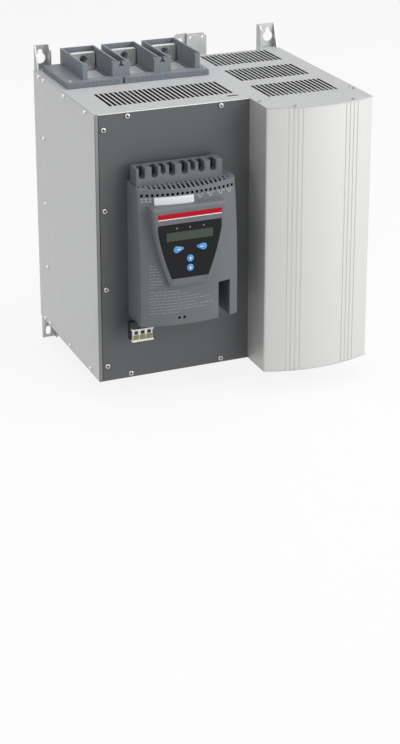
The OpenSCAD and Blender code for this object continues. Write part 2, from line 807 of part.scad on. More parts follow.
// Bracket that joins the two modules at the rear, with a lifting lug
module joining_bracket() {
    plate_x = x_step + bracket_off;
    lug_x = plate_x - bracket_lug_w;
    chamfer = 6;
    lug_foot = z_top - bracket_foot;
    color(zinc) difference() {
        union() {
            translate([0, -rail_d + rail_t, 0]) rotate([90, 0, 0]) linear_extrude(rail_t)
                polygon([[plate_x, z_top - bracket_down], [plate_x + bracket_plate_w, z_top - bracket_down],
                    [plate_x + bracket_plate_w, z_top + bracket_up - chamfer],
                    [plate_x + bracket_plate_w - chamfer, z_top + bracket_up],
                    [plate_x, z_top + bracket_up]]);
            block([plate_x, -rail_d, lug_foot],
                [plate_x + rail_t, -rail_d + bracket_step + rail_t, z_top + bracket_up]);
            translate([0, -rail_d + bracket_step + rail_t, 0]) rotate([90, 0, 0]) linear_extrude(rail_t)
                polygon([[lug_x, lug_foot], [plate_x + rail_t, lug_foot],
                    [plate_x + rail_t, z_top + bracket_up], [lug_x + chamfer, z_top + bracket_up],
                    [lug_x, z_top + bracket_up - chamfer]]);
        }
        translate([lug_x + bracket_lug_w / 2, 0, z_top + bracket_up - bracket_hole_down]) rotate([90, 0, 0])
            cylinder(r = bracket_hole_r, h = rail_d);
        for (x = [bracket_small_in, bracket_plate_w - bracket_small_in])
            translate([plate_x + x, 0, z_top + bracket_up - bracket_small_in]) rotate([90, 0, 0])
                cylinder(r = bracket_small_r, h = rail_d + eps);
    }
}

module back_plate() {
    flange_z = body_h / 2 - flange_h - seam;
    color(zinc) difference() {
        union() {
            block([x_left + sheet, case_back, z_bot + sheet], [x_right - sheet, -rail_d, z_top - sheet]);
            block([x_left + sheet, case_back - back_flange_d, -flange_z],
                [x_left + 2 * sheet, case_back, flange_z]);
            block([x_right - sheet, case_back - back_flange_d, -flange_z],
                [x_right - 2 * sheet, case_back, flange_z]);
        }
        side_screw_holes();
    }
}

module side_screw_holes() {
    for (p = side_places) {
        screw_hole([x_left, p[0], p[1]], to_left, side_grip);
        screw_hole([x_right, p[0], p[1]], to_right, side_grip);
    }
}

module left_side_panel() {
    color(zinc) difference() {
        union() {
            block([x_left, panel_back, z_bot + sheet], [x_left + sheet, 0, z_top - sheet]);
            block([x_left, panel_back, z_bot + sheet],
                [x_left + side_flange_w, panel_back + sheet, z_top - sheet]);
        }
        side_screw_holes();
        for (p = panel_column) screw_hole(p, to_front, panel_grip);
    }
}

module right_side_panel() {
    color(zinc) difference() {
        block([x_right - sheet, -right_panel_front + seam, z_bot + sheet], [x_right, 0, z_top - sheet]);
        side_screw_holes();
    }
}

// Plan of the top and bottom plates: two rectangles, the right one with a round front corner
module plate_plan(front) {
    difference() {
        union() {
            translate([x_left, -front]) square([left_w + 1, front - rail_d]);
            translate([x_step, -plate_front]) square([right_w, plate_front - rail_d]);
        }
        plate_corner(0);
    }
}

module right_plate_plan(grow) {
    difference() {
        translate([x_step - 2, -plate_front - grow]) square([right_w + 4, plate_front - rail_d + grow]);
        plate_corner(grow);
    }
}

// What the round front corner takes off a square one
module plate_corner(grow) {
    r = plate_corner_r + grow;
    x = x_right - plate_corner_r;
    y = -(plate_front - plate_corner_r);
    difference() {
        translate([x, y - r - 2]) square(r + 2);
        translate([x, y]) circle(r = r);
    }
}

// The plate with its folded flanges, as the top one lies
module end_plate(front) {
    side_y = panel_back + sheet + seam;
    rear_y = case_back - seam;
    translate([0, 0, z_top - sheet]) linear_extrude(sheet) plate_plan(front);
    block([x_left + sheet, side_y, z_top - flange_h], [x_left + 2 * sheet, rear_y, z_top - sheet]);
    block([x_right - sheet, -right_panel_front + seam, z_top - flange_h],
        [x_right - 2 * sheet, rear_y, z_top - sheet]);
    block([x_left + side_flange_w + seam, panel_back, z_top - flange_h],
        [x_step - seam, panel_back + sheet, z_top - sheet]);
    inner = sheet + rail_t + seam;
    block([x_left + inner, -rail_d - 1, z_top - sheet],
        [x_left + sheet + left_rail_w - rail_t - seam, -rail_t - seam, z_top]);
    block([x_right - inner, -rail_d - 1, z_top - sheet],
        [x_right - sheet - right_rail_w + rail_t + seam, -rail_t - seam, z_top]);
}

module end_plate_cuts() {
    for (k = bays)
        block([bar_mid(k) - bar_w / 2 - bar_gap, bar_front - bar_gap, z_top - 3 * sheet],
            [bar_mid(k) + bar_w / 2 + bar_gap, bar_rear + bar_gap, z_top + sheet]);
    for (p = shroud_places) screw_hole([p[0], p[1], z_top], to_top, shroud_grip);
}

module slot_row(x_mid, y_mid, n, pitch, length) {
    for (k = [0 : n - 1])
        translate([x_mid + (k - (n - 1) / 2) * pitch - slot_w / 2, y_mid - length / 2, z_top - 3 * sheet])
            cube([slot_w, length, 4 * sheet]);
}

module top_plate() {
    main_x = x_left + main_left + (main_n - 1) * main_pitch / 2 + slot_w / 2;
    color(zinc) difference() {
        end_plate(left_d);
        end_plate_cuts();
        side_screw_holes();
        for (p = panel_rows) screw_hole(p, to_front, panel_grip);
        slot_row(main_x, -left_d + main_back, main_n, main_pitch, main_len);
        for (k = bays) slot_row(x_cover, field_mid(k), field_n, field_pitch, field_len);
        block([x_step - tag_slot_in - tag_slot_l, -left_d + tag_slot_back, z_top - 3 * sheet],
            [x_step - tag_slot_in, -left_d + tag_slot_back + slot_w, z_top + sheet]);
    }
}

module bottom_plate() {
    color(zinc) difference() {
        mirror([0, 0, 1]) end_plate(left_d - panel_t);
        mirror([0, 0, 1]) end_plate_cuts();
        side_screw_holes();
        for (p = panel_rows) screw_hole(p, to_front, panel_grip);
        mirror([0, 0, 1]) slot_row(x_left + left_w / 2, -left_d + main_back, main_n, main_pitch, main_len);
        for (k = bays)
            translate([x_cover, field_mid(k), z_bot - eps]) cylinder(r = duct_r, h = sheet + 2 * eps);
    }
}

// Sheet between the modules, with windows for the link bars
module divider_panel() {
    link_y = bar_front - link_out - link_s / 2;
    reach = link_s / 2 + window_gap;
    color(zinc) difference() {
        block([x_step - sheet - seam, panel_back + sheet + seam, z_bot + sheet],
            [x_step - seam, case_back, z_top - sheet]);
        for (s = [-1, 1])
            block([x_step - 3 * sheet, link_y - reach, link_z(0, s) - s * reach],
                [x_step + sheet, link_y + reach, link_z(2, s) + s * reach]);
    }
}

module front_panel() {
    color(panel_grey) difference() {
        block([x_left, -left_d, z_bot], [x_step - seam, panel_back, z_top - sheet - seam]);
        for (p = panel_places) screw_hole(p, to_front, panel_grip);
        block([unit_left + mouth_in, -left_d - eps, unit_bot + mouth_up],
            [unit_left + unit_w - mouth_in, panel_back + eps, unit_top - mouth_up]);
    }
}

// Plan of the bowed cover: a rectangle whose front is an arc
module cover_plan(inset, rear) {
    intersection() {
        translate([x_step + inset, -right_d - cover_bow])
            square([right_w - 2 * inset, right_d + cover_bow - rear]);
        translate([x_cover, bow_y]) circle(r = bow_r - inset, $fn = 192);
    }
}

module groove(off) {
    translate([x_cover, bow_y]) rotate(asin(off / bow_r))
        translate([-groove_w / 2, -bow_r - 1]) square([groove_w, 1 + groove_deep]);
}

module right_cover() {
    color(silver) translate([0, 0, z_bot + cap_t]) linear_extrude(body_h - 2 * cap_t) difference() {
        union() {
            difference() {
                cover_plan(0, right_panel_front);
                cover_plan(cover_t, right_panel_front - 1);
            }
            for (p = cap_places) translate(p) circle(r = port_r);
        }
        translate([x_step - 1, -left_d + cover_tuck]) square([cover_t + 2, left_d]);
        for (s = [-1, 1], k = [0 : groove_n - 1])
            groove(s * groove_off + (k - (groove_n - 1) / 2) * groove_pitch);
        for (p = cap_places) translate(p) circle(r = screw_r + screw_gap);
    }
}

module cover_cap() {
    difference() {
        translate([0, 0, z_top - cap_t]) linear_extrude(cap_t) difference() {
            cover_plan(0, right_panel_front);
            right_plate_plan(seam);
        }
        for (p = cap_places) screw_hole([p[0], p[1], z_top], to_top, cap_grip);
    }
}

module cover_cap_top() {
    color(silver) cover_cap();
}

module cover_cap_bottom() {
    color(silver) mirror([0, 0, 1]) cover_cap();
}

module panel_screws() {
    color(steel) for (p = panel_places) screw(p, to_front, panel_grip, screw_head_r);
}

module case_screws() {
    color(steel) {
        for (p = side_places) {
            screw([x_left, p[0], p[1]], to_left, side_grip, screw_head_r * 0.85);
            screw([x_right, p[0], p[1]], to_right, side_grip, screw_head_r * 0.85);
        }
        for (p = cap_places) {
            screw([p[0], p[1], z_top], to_top, cap_grip, cap_head_r);
            screw([p[0], p[1], z_bot], to_bottom, cap_grip, cap_head_r);
        }
        for (p = shroud_places) {
            screw([p[0], p[1], z_top + base_h], to_top, shroud_grip, cap_head_r);
            screw([p[0], p[1], z_bot - base_h], to_bottom, shroud_grip, cap_head_r);
        }
    }
}

// Terminal shroud: a base with three compartments, open at the top, front and floor
module bay_cut(k) {
    inner = bay_w / 2 - bay_wall;
    rear = base_y - bay_wall;
    high = z_top + bay_h + 1;
    block([bay_mid(k) - inner, rear, z_top + base_h], [bay_mid(k) + inner, post_front - 1, high]);
    block([bay_mid(k) - inner, rear, z_top - 1], [bay_mid(k) + inner, post_front + post_d, high]);
}

module bay_ledges(k) {
    for (s = [-1, 1]) {
        wall = bay_mid(k) + s * (bay_w / 2 - bay_wall);
        block([wall + s * eps, bar_front - bar_gap, z_top],
            [wall - s * ledge, post_front + post_d - eps, z_top + ledge]);
    }
}

module bay_posts(k) {
    for (s = [-1, 1]) {
        edge = bay_mid(k) + s * bay_w / 2;
        block([edge, post_front, z_top], [edge - s * post_w, post_front + post_d, z_top + bay_h - post_drop]);
    }
}

module bay_web(k) {
    web_x = bay_mid(k) + bay_pitch / 2;
    web_w = bay_pitch - bay_w;
    web_top = z_top + bay_h - post_drop;
    difference() {
        block([web_x - web_w / 2 - eps, post_front, z_top],
            [web_x + web_w / 2 + eps, post_front + web_t, web_top]);
        block([web_x - tee_w / 2, post_front - 1, web_top - tee_down - 1],
            [web_x + tee_w / 2, post_front + post_d, web_top + 1]);
        block([web_x - tee_head_w / 2, post_front - 1, web_top - tee_down - tee_head_h],
            [web_x + tee_head_w / 2, post_front + post_d, web_top - tee_down]);
    }
}

module terminal_shroud() {
    notch_x = bay_mid(0) + bay_pitch / 2;
    difference() {
        union() {
            block([shroud_left, base_y - base_d, z_top], [shroud_right, base_y, z_top + base_h]);
            for (k = bays)
                block([bay_mid(k) - bay_w / 2, post_front, z_top],
                    [bay_mid(k) + bay_w / 2, base_y, z_top + bay_h]);
        }
        for (k = bays) bay_cut(k);
        block([notch_x - base_notch_w / 2, base_y - base_d - 1, z_top - 1],
            [notch_x + base_notch_w / 2, base_y - base_d + base_notch_d, z_top + base_h + 1]);
        for (p = shroud_places) screw_hole([p[0], p[1], z_top + base_h], to_top, shroud_grip);
    }
    for (k = bays) {
        bay_posts(k);
        bay_ledges(k);
    }
    for (k = [0, 1]) bay_web(k);
}

module line_shroud() {
    color(shroud_grey) terminal_shroud();
}

module load_shroud() {
    color(shroud_grey) mirror([0, 0, 1]) terminal_shroud();
}

// Terminal bar on the line side (s = 1) or the load side (s = -1)
module terminal_bar(k, s) {
    case_end = s * body_h / 2;
    difference() {
        block([bar_mid(k) - bar_w / 2, bar_front, cont_mid + s * (contact_out - contact_t)],
            [bar_mid(k) + bar_w / 2, bar_rear, case_end + s * bar_up]);
        translate([bar_mid(k), bar_rear + eps, case_end + s * bolt_up]) rotate([90, 0, 0])
            cylinder(r = bolt_r, h = bar_t + 2 * eps);
    }
}

module line_bar_left() { color(tin) terminal_bar(0, 1); }
module line_bar_middle() { color(tin) terminal_bar(1, 1); }
module line_bar_right() { color(tin) terminal_bar(2, 1); }
module load_bar_left() { color(tin) terminal_bar(0, -1); }
module load_bar_middle() { color(tin) terminal_bar(1, -1); }
module load_bar_right() { color(tin) terminal_bar(2, -1); }

// A square bar through a list of points, each leg along one axis
module bar_run(points) {
    half = link_s / 2;
    for (i = [0 : len(points) - 2])
        block([for (j = [0 : 2]) min(points[i][j], points[i + 1][j]) - half],
            [for (j = [0 : 2]) max(points[i][j], points[i + 1][j]) + half]);
}

// Link from a bar through the divider to its thyristor module
module link(k, s) {
    z = link_z(k, s);
    pole_z = module_z + s * module_pole;
    half = link_s / 2;
    start_y = bar_front - half;
    run_y = bar_front - link_out - half;
    end_y = sink_front(k) - module_t / 2;
    bar_run([[bar_mid(k), start_y, z], [bar_mid(k), run_y, z], [duct_x, run_y, z], [duct_x, end_y, z],
        [duct_x, end_y, pole_z], [module_left - half, end_y, pole_z]]);
}

module line_links() {
    color(copper) for (k = bays) link(k, 1);
}

module load_links() {
    color(copper) for (k = bays) link(k, -1);
}

// Ring-shaped current transformer round a load bar, on the bottom plate
module current_transformer(k) {
    outer = bar_w / 2 + ring_w;
    inner = bar_w / 2 + ring_gap;
    difference() {
        block([bar_mid(k) - outer, bar_front - ring_d, z_bot + sheet],
            [bar_mid(k) + outer, case_back, z_bot + sheet + ring_h]);
        block([bar_mid(k) - inner, bar_front - ring_gap, z_bot],
            [bar_mid(k) + inner, bar_rear + ring_gap, z_bot + sheet + ring_h + 1]);
    }
}

module current_transformer_left() { color(black) current_transformer(0); }
module current_transformer_middle() { color(black) current_transformer(1); }
module current_transformer_right() { color(black) current_transformer(2); }

// Finned heat sink, extruded upright, with its base towards the front
module heat_sink(k) {
    gap = (sink_w - fin_n * fin_t) / (fin_n - 1);
    translate([0, 0, sink_z]) linear_extrude(sink_h) difference() {
        translate([sink_left, sink_front(k)]) square([sink_w, sink_d]);
        for (i = [0 : fin_n - 2])
            translate([sink_left + fin_t + i * (gap + fin_t), sink_front(k) + sink_base])
                square([gap, sink_d]);
    }
}

module heat_sink_rear() { color(alu) heat_sink(0); }
module heat_sink_middle() { color(alu) heat_sink(1); }
module heat_sink_front() { color(alu) heat_sink(2); }

// Thyristor module bolted to the heat sink's base, with a rib between its two poles
module thyristor(k) {
    body_t = module_t - module_rise;
    block([module_left, sink_front(k) - body_t, module_z - module_h / 2],
        [module_left + module_w, sink_front(k), module_z + module_h / 2]);
    block([module_left, sink_front(k) - module_t, module_z - module_rib / 2],
        [module_left + module_w, sink_front(k) - body_t + eps, module_z + module_rib / 2]);
    for (s = [-1, 1])
        translate([x_cover, sink_front(k) - body_t + eps, module_z + s * module_pole]) rotate([90, 0, 0])
            cylinder(r = pole_r, h = module_rise);
}

module thyristor_rear() { color(ivory) thyristor(0); }
module thyristor_middle() { color(ivory) thyristor(1); }
module thyristor_front() { color(ivory) thyristor(2); }

// Axial fan: square frame with three struts that carry the bearing
module fan_frame(k) {
    translate([x_cover, field_mid(k), z_bot + sheet]) {
        difference() {
            translate([-fan_size / 2, -fan_size / 2, 0]) cube([fan_size, fan_size, fan_d]);
            translate([0, 0, -1]) cylinder(r = duct_r, h = fan_d + 2);
        }
        difference() {
            union() {
                cylinder(r = hub_r, h = hub_base);
                for (a = [30, 150, 270])
                    rotate(a) translate([0, -strut_w / 2, 0]) cube([duct_r + 1, strut_w, hub_base]);
            }
            translate([0, 0, -1]) cylinder(r = shaft_r + shaft_gap, h = hub_base + 2);
        }
    }
}

module fan_rotor(k) {
    translate([x_cover, field_mid(k), z_bot + sheet + rotor_z]) {
        cylinder(r = hub_r, h = rotor_h);
        translate([0, 0, -rotor_z + 0.5]) cylinder(r = shaft_r, h = rotor_z);
        intersection() {
            cylinder(r = blade_r, h = rotor_h);
            for (i = [0 : blade_n - 1])
                rotate(i * 360 / blade_n) translate([0, 0, rotor_h / 2]) rotate([blade_pitch, 0, 0])
                    translate([hub_r - blade_t, -rotor_h, -blade_t / 2])
                        cube([blade_r, 2 * rotor_h, blade_t]);
        }
    }
}

module fan_frame_rear() { color(black) fan_frame(0); }
module fan_frame_middle() { color(black) fan_frame(1); }
module fan_frame_front() { color(black) fan_frame(2); }
module fan_rotor_rear() { color(black) fan_rotor(0); }
module fan_rotor_middle() { color(black) fan_rotor(1); }
module fan_rotor_front() { color(black) fan_rotor(2); }

// Bypass contactor. The base stands on the back plate between the bars and holds the magnet.
module contactor_base() {
    foot = cont_foot / 2;
    inner_w = cont_w / 2 - cont_wall;
    inner_h = cont_base_h / 2 - cont_wall;
    color(black) {
        difference() {
            block([cont_x - cont_w / 2, base_front, cont_mid - cont_base_h / 2],
                [cont_x + cont_w / 2, base_rear, cont_mid + cont_base_h / 2]);
            block([cont_x - inner_w, base_front - 1, cont_mid - inner_h],
                [cont_x + inner_w, base_rear - cont_wall, cont_mid + inner_h]);
        }
        for (s = [-1, 1], t = [-1, 1]) {
            x = cont_x + s * bay_pitch / 2;
            z = cont_mid + t * (cont_base_h / 2 - foot);
            block([x - foot, base_rear - eps, z - foot], [x + foot, case_back, z + foot]);
        }
    }
}

module contactor_cover() {
    inner_w = cont_w / 2 - cont_wall;
    inner_h = cont_h / 2 - cont_wall;
    color(black) difference() {
        block([cont_x - cont_w / 2, base_front - cont_cover_d, cont_mid - cont_h / 2],
            [cont_x + cont_w / 2, base_front, cont_mid + cont_h / 2]);
        block([cont_x - inner_w, base_front - cont_cover_d + cont_wall, cont_mid - inner_h],
            [cont_x + inner_w, base_front + 1, cont_mid + inner_h]);
    }
}

// E-shaped core: a yoke with three legs that face the armature
module contactor_core() {
    rear = base_rear - cont_wall;
    color(steel) {
        block([cont_x - core_w / 2, rear - core_yoke, cont_mid - core_h / 2],
            [cont_x + core_w / 2, rear, cont_mid + core_h / 2]);
        for (i = [-1 : 1])
            block([cont_x + i * (core_w - leg) / 2 - leg / 2, core_front, cont_mid - core_h / 2],
                [cont_x + i * (core_w - leg) / 2 + leg / 2, rear - core_yoke + eps, cont_mid + core_h / 2]);
    }
}

// Coil on the core's middle leg
module contactor_coil() {
    rear = base_rear - cont_wall - core_yoke;
    reach = (core_w - leg) / 2 - leg / 2 - coil_gap;
    hole_x = leg / 2 + coil_gap;
    hole_z = core_h / 2 + coil_gap;
    coil_z = core_h / 2 + coil_over;
    color(copper) difference() {
        block([cont_x - reach, core_front + coil_gap, cont_mid - coil_z],
            [cont_x + reach, rear, cont_mid + coil_z]);
        block([cont_x - hole_x, core_front, cont_mid - hole_z],
            [cont_x + hole_x, rear + 1, cont_mid + hole_z]);
    }
}

module contactor_armature() {
    color(steel) block([cont_x - core_w / 2, core_front - contact_gap - armature_t, cont_mid - core_h / 2],
        [cont_x + core_w / 2, core_front - contact_gap, cont_mid + core_h / 2]);
}

// Insulating carriage: a cross bar on two posts between the armature and the cover
module contactor_carriage() {
    half_w = cont_w / 2 - cont_wall - carriage_gap;
    half_h = carriage_h / 2;
    post = carriage_post / 2;
    color(ivory) {
        block([cont_x - half_w, bridge_front - carriage_t, cont_mid - half_h],
            [cont_x + half_w, bridge_front, cont_mid + half_h]);
        for (s = [-1, 1]) {
            x = cont_x + s * bay_pitch / 2;
            block([x - post, base_front - cont_cover_d + cont_wall, cont_mid - post],
                [x + post, core_front - contact_gap - armature_t, cont_mid + post]);
        }
    }
}

module contact_bridges() {
    half_w = contact_w / 2 - bridge_in;
    half_h = contact_out - bridge_in;
    color(copper) for (k = bays)
        block([bar_mid(k) - half_w, bridge_front, cont_mid - half_h],
            [bar_mid(k) + half_w, bridge_front + bridge_t, cont_mid + half_h]);
}

// Fixed contacts: a clamp on the bar, a run forward and a pad that faces the bridge
module fixed_contact(k, s) {
    z_in = cont_mid + s * (contact_out - contact_t);
    z_out = cont_mid + s * contact_out;
    x0 = bar_mid(k) - contact_w / 2;
    x1 = bar_mid(k) + contact_w / 2;
    block([x0, bar_front - contact_t, z_in], [x1, bar_front, z_out + s * clamp_h]);
    block([x0, pad_front, z_in], [x1, bar_front, z_out]);
    block([x0, pad_front, z_out - s * contact_pad_h], [x1, pad_front + contact_t, z_out]);
}

module fixed_contacts() {
    color(copper) for (k = bays, s = [-1, 1]) fixed_contact(k, s);
}

// Control unit: its turned front leans back at the top, under a shelf that slopes down from the ridge
module unit_form(inset) {
    steps = 10;
    low = unit_bot + inset;
    high = unit_top - inset;
    rear = -left_d + (inset > 0 ? 1 : 0);
    far = -left_d - unit_d - unit_bow - 1;
    rise = [for (i = [0 : steps]) low + (high - low) * i / steps];
    intersection() {
        translate([unit_left + inset, 0, 0]) along_x(unit_w - 2 * inset)
            polygon([[rear, low], [rear, high], [ridge_front, high],
                [far, shelf_at(far) - inset], [far, low]]);
        translate([unit_mid, unit_axis_y, 0]) rotate_extrude($fn = 180)
            polygon(concat([[0, low]], [for (z = rise) [unit_r - inset - lean(z), z]], [[0, high]]));
    }
}

module ridge_notches() {
    for (i = [0 : len(notch_at) - 1]) {
        half = notch_wide(i) / 2;
        x = notch_mid(i);
        z = ridge_top - notch_deep(i) + half;
        block([x - half, ridge_front - 1, z], [x + half, ridge_front + ridge_d - ridge_wall, ridge_top + 1]);
        translate([x, ridge_front - 1, z]) rotate([-90, 0, 0])
            cylinder(r = half, h = ridge_d - ridge_wall + 1);
    }
}

// Pocket at the lower right, open at the front and the bottom
module recess(grow) {
    x = unit_left + unit_w - leg_w - recess_w;
    block([x - grow, -left_d - unit_d - unit_bow - 1, unit_bot - 1],
        [x + recess_w + grow, -left_d - recess_back + grow, unit_bot + recess_h + grow]);
}

module control_housing() {
    vent_l = unit_w - 2 * vent_side;
    slot_low = shelf_z - unit_wall - 1;
    color(unit_grey) difference() {
        union() {
            unit_form(0);
            block([ridge_left, ridge_front, shelf_z], [ridge_left + ridge_l, -left_d - ridge_off, ridge_top]);
        }
        difference() {
            unit_form(unit_wall);
            recess(unit_wall);
        }
        recess(0);
        ridge_notches();
        for (i = [0 : vent_n - 1]) {
            off = (i - (vent_n - 1) / 2) * vent_l / (vent_n - 1);
            translate([unit_mid + off, -left_d - unit_d / 2, shelf_z - vent_down])
                rotate([90, 0, 0]) cylinder(r = vent_r, h = unit_d, $fn = 16);
            x = ridge_left + dot_in + i * dot_pitch;
            dot_y = ridge_front - dot_front - shelf_dot;
            block([x - shelf_dot / 2, dot_y, slot_low], [x + shelf_dot / 2, dot_y + shelf_dot, unit_top + 1]);
            slot_rear = dot_y - shelf_slot_gap;
            slot_front = front_y(x - unit_mid) + shelf_slot_in;
            if (slot_rear - slot_front > shelf_slot_min)
                block([x - shelf_slot_w / 2, slot_front, slot_low],
                    [x + shelf_slot_w / 2, slot_rear, unit_top + 1]);
        }
        for (s = [-1, 1])
            translate([unit_mid - pin_off + s * pin_pitch / 2, -left_d - unit_d / 2, unit_bot + pin_up])
                rotate([90, 0, 0]) cylinder(r = pin_r, h = unit_d, $fn = 16);
    }
}

// Dark block in the ridge's notches, which takes the wires
module terminal_block() {
    rear = ridge_front + ridge_d - ridge_wall;
    color(black) for (i = [0 : len(notch_at) - 1]) {
        half = notch_wide(i) / 2;
        block([notch_mid(i) - half, rear - wire_block_t, ridge_top - notch_deep(i) + half],
            [notch_mid(i) + half, rear, ridge_top - wire_block_down]);
    }
}

module control_board() {
    side = unit_w / 2 - unit_wall - board_in;
    low = unit_bot + recess_h + board_in;
    high = shelf_z - board_in;
    post_in = 2 * board_post_r;
    color(green) block([unit_mid - side, -left_d - board_off - board_t, low],
        [unit_mid + side, -left_d - board_off, high]);
    color(green) for (s = [-1, 1], z = [low + post_in, high - post_in])
        translate([unit_mid + s * (side - post_in), -left_d, z]) rotate([90, 0, 0])
            cylinder(r = board_post_r, h = board_off + eps);
}

// Shield outline with bulging sides, in X and Z
module shield(top_half, bottom_half, height) {
    steps = 10;
    side = [for (i = [0 : steps]) [shield_half(i / steps, top_half, bottom_half), height * (1 - i / steps)]];
    other = [for (i = [steps : -1 : 0]) [-side[i][0], side[i][1]]];
    polygon(concat(side, other));
}

module facing(y, depth) {
    translate([bezel_mid, y, 0]) rotate([90, 0, 0]) linear_extrude(depth) children();
}

module bezel_window(grow) {
    top_share = bezel_band / bezel_h;
    low_share = 1 - bezel_chin / bezel_h;
    top_half = shield_half(top_share, bezel_top, bezel_bottom) - bezel_side + grow;
    low_half = shield_half(low_share, bezel_top, bezel_bottom) - bezel_side_low + grow;
    translate([0, pad_bot - grow]) shield(top_half, low_half, pad_top - pad_bot + 2 * grow);
}

module keypad_bezel() {
    depth = bezel_out + unit_bow + unit_lean;
    color(unit_grey) difference() {
        facing(bezel_front + depth, depth) translate([0, bezel_bot]) shield(bezel_top, bezel_bottom, bezel_h);
        unit_form(0);
        facing(bezel_front + pad_t, pad_t + 1) bezel_window(0);
        facing(bezel_front + pad_t + pad_deep, pad_deep + eps) bezel_window(-pad_ledge);
    }
}

module round_key_plan(z, grow) {
    translate([0, z]) circle(r = key_round_r + grow);
}

// Teardrop: a round end and a narrow end, joined by their common tangents
module soft_key_plan(s, grow) {
    a = asin((soft_r - soft_tip_r) / soft_l);
    r0 = soft_r + grow;
    r1 = soft_tip_r + grow;
    n = 16;
    round_end = [for (i = [0 : n]) let(t = (90 + a) * (2 * i / n - 1)) r0 * [cos(t), sin(t)]];
    tip = [for (i = [0 : n]) let(t = 90 + a + (180 - 2 * a) * i / n) [r1 * cos(t) - soft_l, r1 * sin(t)]];
    translate([s * key_side, soft_z]) mirror([s > 0 ? 0 : 1, 0]) rotate(-soft_turn)
        polygon(concat(round_end, tip));
}

module keypad_panel() {
    color(black) facing(pad_back, pad_t) difference() {
        bezel_window(-pad_gap);
        round_key_plan(key_up_z, key_gap);
        round_key_plan(key_down_z, key_gap);
        soft_key_plan(-1, key_gap);
        soft_key_plan(1, key_gap);
        translate([-lcd_w / 2 - pad_gap, lcd_top - lcd_h - pad_gap])
            square([lcd_w + 2 * pad_gap, lcd_h + 2 * pad_gap]);
    }
}

module display() {
    color(glass) facing(bezel_front + pad_t + pad_deep, pad_t + pad_deep - lcd_sink)
        translate([-lcd_w / 2, lcd_top - lcd_h]) square([lcd_w, lcd_h]);
}

// A key is its outline, with a rim that keeps it behind the panel
module soft_key(s) {
    facing(bezel_front + key_len, key_len + key_out) soft_key_plan(s, 0);
    facing(pad_back + key_rim_t, key_rim_t) soft_key_plan(s, key_rim);
}

module round_key(z) {
    facing(bezel_front + key_len, key_len + key_out) round_key_plan(z, 0);
    facing(pad_back + key_rim_t, key_rim_t) round_key_plan(z, key_rim);
}

module key_left() { color(blue) soft_key(-1); }
module key_right() { color(blue) soft_key(1); }
module key_up() { color(blue) round_key(key_up_z); }
module key_down() { color(blue) round_key(key_down_z); }

// White pull-off plug under the unit's lower left corner
module terminal_plug() {
    plug_x = unit_left - plug_left;
    front = -(left_d + plug_off + plug_d);
    pole = plug_w / plug_n;
    top = unit_bot;
    pole_top = top - plug_rim_down - plug_rim_t;
    color(ivory) difference() {
        union() {
            block([plug_x, front, top - plug_h], [plug_x + plug_w, front + plug_d, top]);
            for (z = [pole_top, top - plug_h])
                block([plug_x - plug_rim, front - plug_rim, z],
                    [plug_x + plug_w + plug_rim, front + plug_d, z + plug_rim_t]);
        }
        for (i = [0 : plug_n - 1]) {
            x = plug_x + i * pole + pole_wall / 2;
            block([x, front - plug_rim - 1, pole_top - pole_h],
                [x + pole - pole_wall, front + pole_d, pole_top]);
        }
    }
}

mount_rail_left();
mount_rail_right();
joining_bracket();
back_plate();
left_side_panel();
right_side_panel();
top_plate();
bottom_plate();
divider_panel();
front_panel();
right_cover();
cover_cap_top();
cover_cap_bottom();
panel_screws();
case_screws();
line_shroud();
load_shroud();
line_bar_left();
line_bar_middle();
line_bar_right();
load_bar_left();
load_bar_middle();
load_bar_right();
line_links();
load_links();
current_transformer_left();
current_transformer_middle();
current_transformer_right();
heat_sink_rear();
heat_sink_middle();
heat_sink_front();
thyristor_rear();
thyristor_middle();
thyristor_front();
fan_frame_rear();
fan_frame_middle();
fan_frame_front();
fan_rotor_rear();
fan_rotor_middle();
fan_rotor_front();
contactor_base();
contactor_cover();
contactor_coil();
contactor_core();
contactor_armature();
contactor_carriage();
contact_bridges();
fixed_contacts();
control_housing();
terminal_block();
control_board();
keypad_bezel();
keypad_panel();
display();
key_left();
key_right();
key_up();
key_down();
terminal_plug();
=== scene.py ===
import math

import bmesh
import bpy
import numpy as np
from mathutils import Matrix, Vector


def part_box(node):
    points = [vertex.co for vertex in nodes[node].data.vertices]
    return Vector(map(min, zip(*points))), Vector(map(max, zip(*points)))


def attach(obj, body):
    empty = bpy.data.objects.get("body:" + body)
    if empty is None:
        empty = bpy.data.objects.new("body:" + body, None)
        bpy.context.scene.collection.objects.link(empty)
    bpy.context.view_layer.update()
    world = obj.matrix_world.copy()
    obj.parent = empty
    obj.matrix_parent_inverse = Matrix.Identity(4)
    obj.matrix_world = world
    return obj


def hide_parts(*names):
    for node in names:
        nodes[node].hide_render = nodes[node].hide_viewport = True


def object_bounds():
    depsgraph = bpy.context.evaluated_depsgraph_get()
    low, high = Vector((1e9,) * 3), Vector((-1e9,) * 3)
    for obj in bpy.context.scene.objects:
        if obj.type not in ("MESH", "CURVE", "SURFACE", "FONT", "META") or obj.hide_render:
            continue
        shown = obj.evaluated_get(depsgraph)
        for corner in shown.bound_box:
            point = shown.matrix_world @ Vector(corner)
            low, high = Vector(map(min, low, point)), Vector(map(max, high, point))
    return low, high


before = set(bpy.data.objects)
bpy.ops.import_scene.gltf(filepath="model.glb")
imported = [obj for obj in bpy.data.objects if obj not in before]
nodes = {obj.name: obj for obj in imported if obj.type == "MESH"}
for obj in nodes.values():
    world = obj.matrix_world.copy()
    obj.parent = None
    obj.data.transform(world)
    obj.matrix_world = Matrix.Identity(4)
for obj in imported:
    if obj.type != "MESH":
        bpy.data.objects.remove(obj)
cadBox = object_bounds()
mm = 0.001
caseSize = 435.0  # the case is as wide as it is high; shapes are in millimetres
caseHalf = caseSize / 2 * mm
panelFront = -300.0  # the dark panel's front along Y
bothSides = np.array([-1, 1])
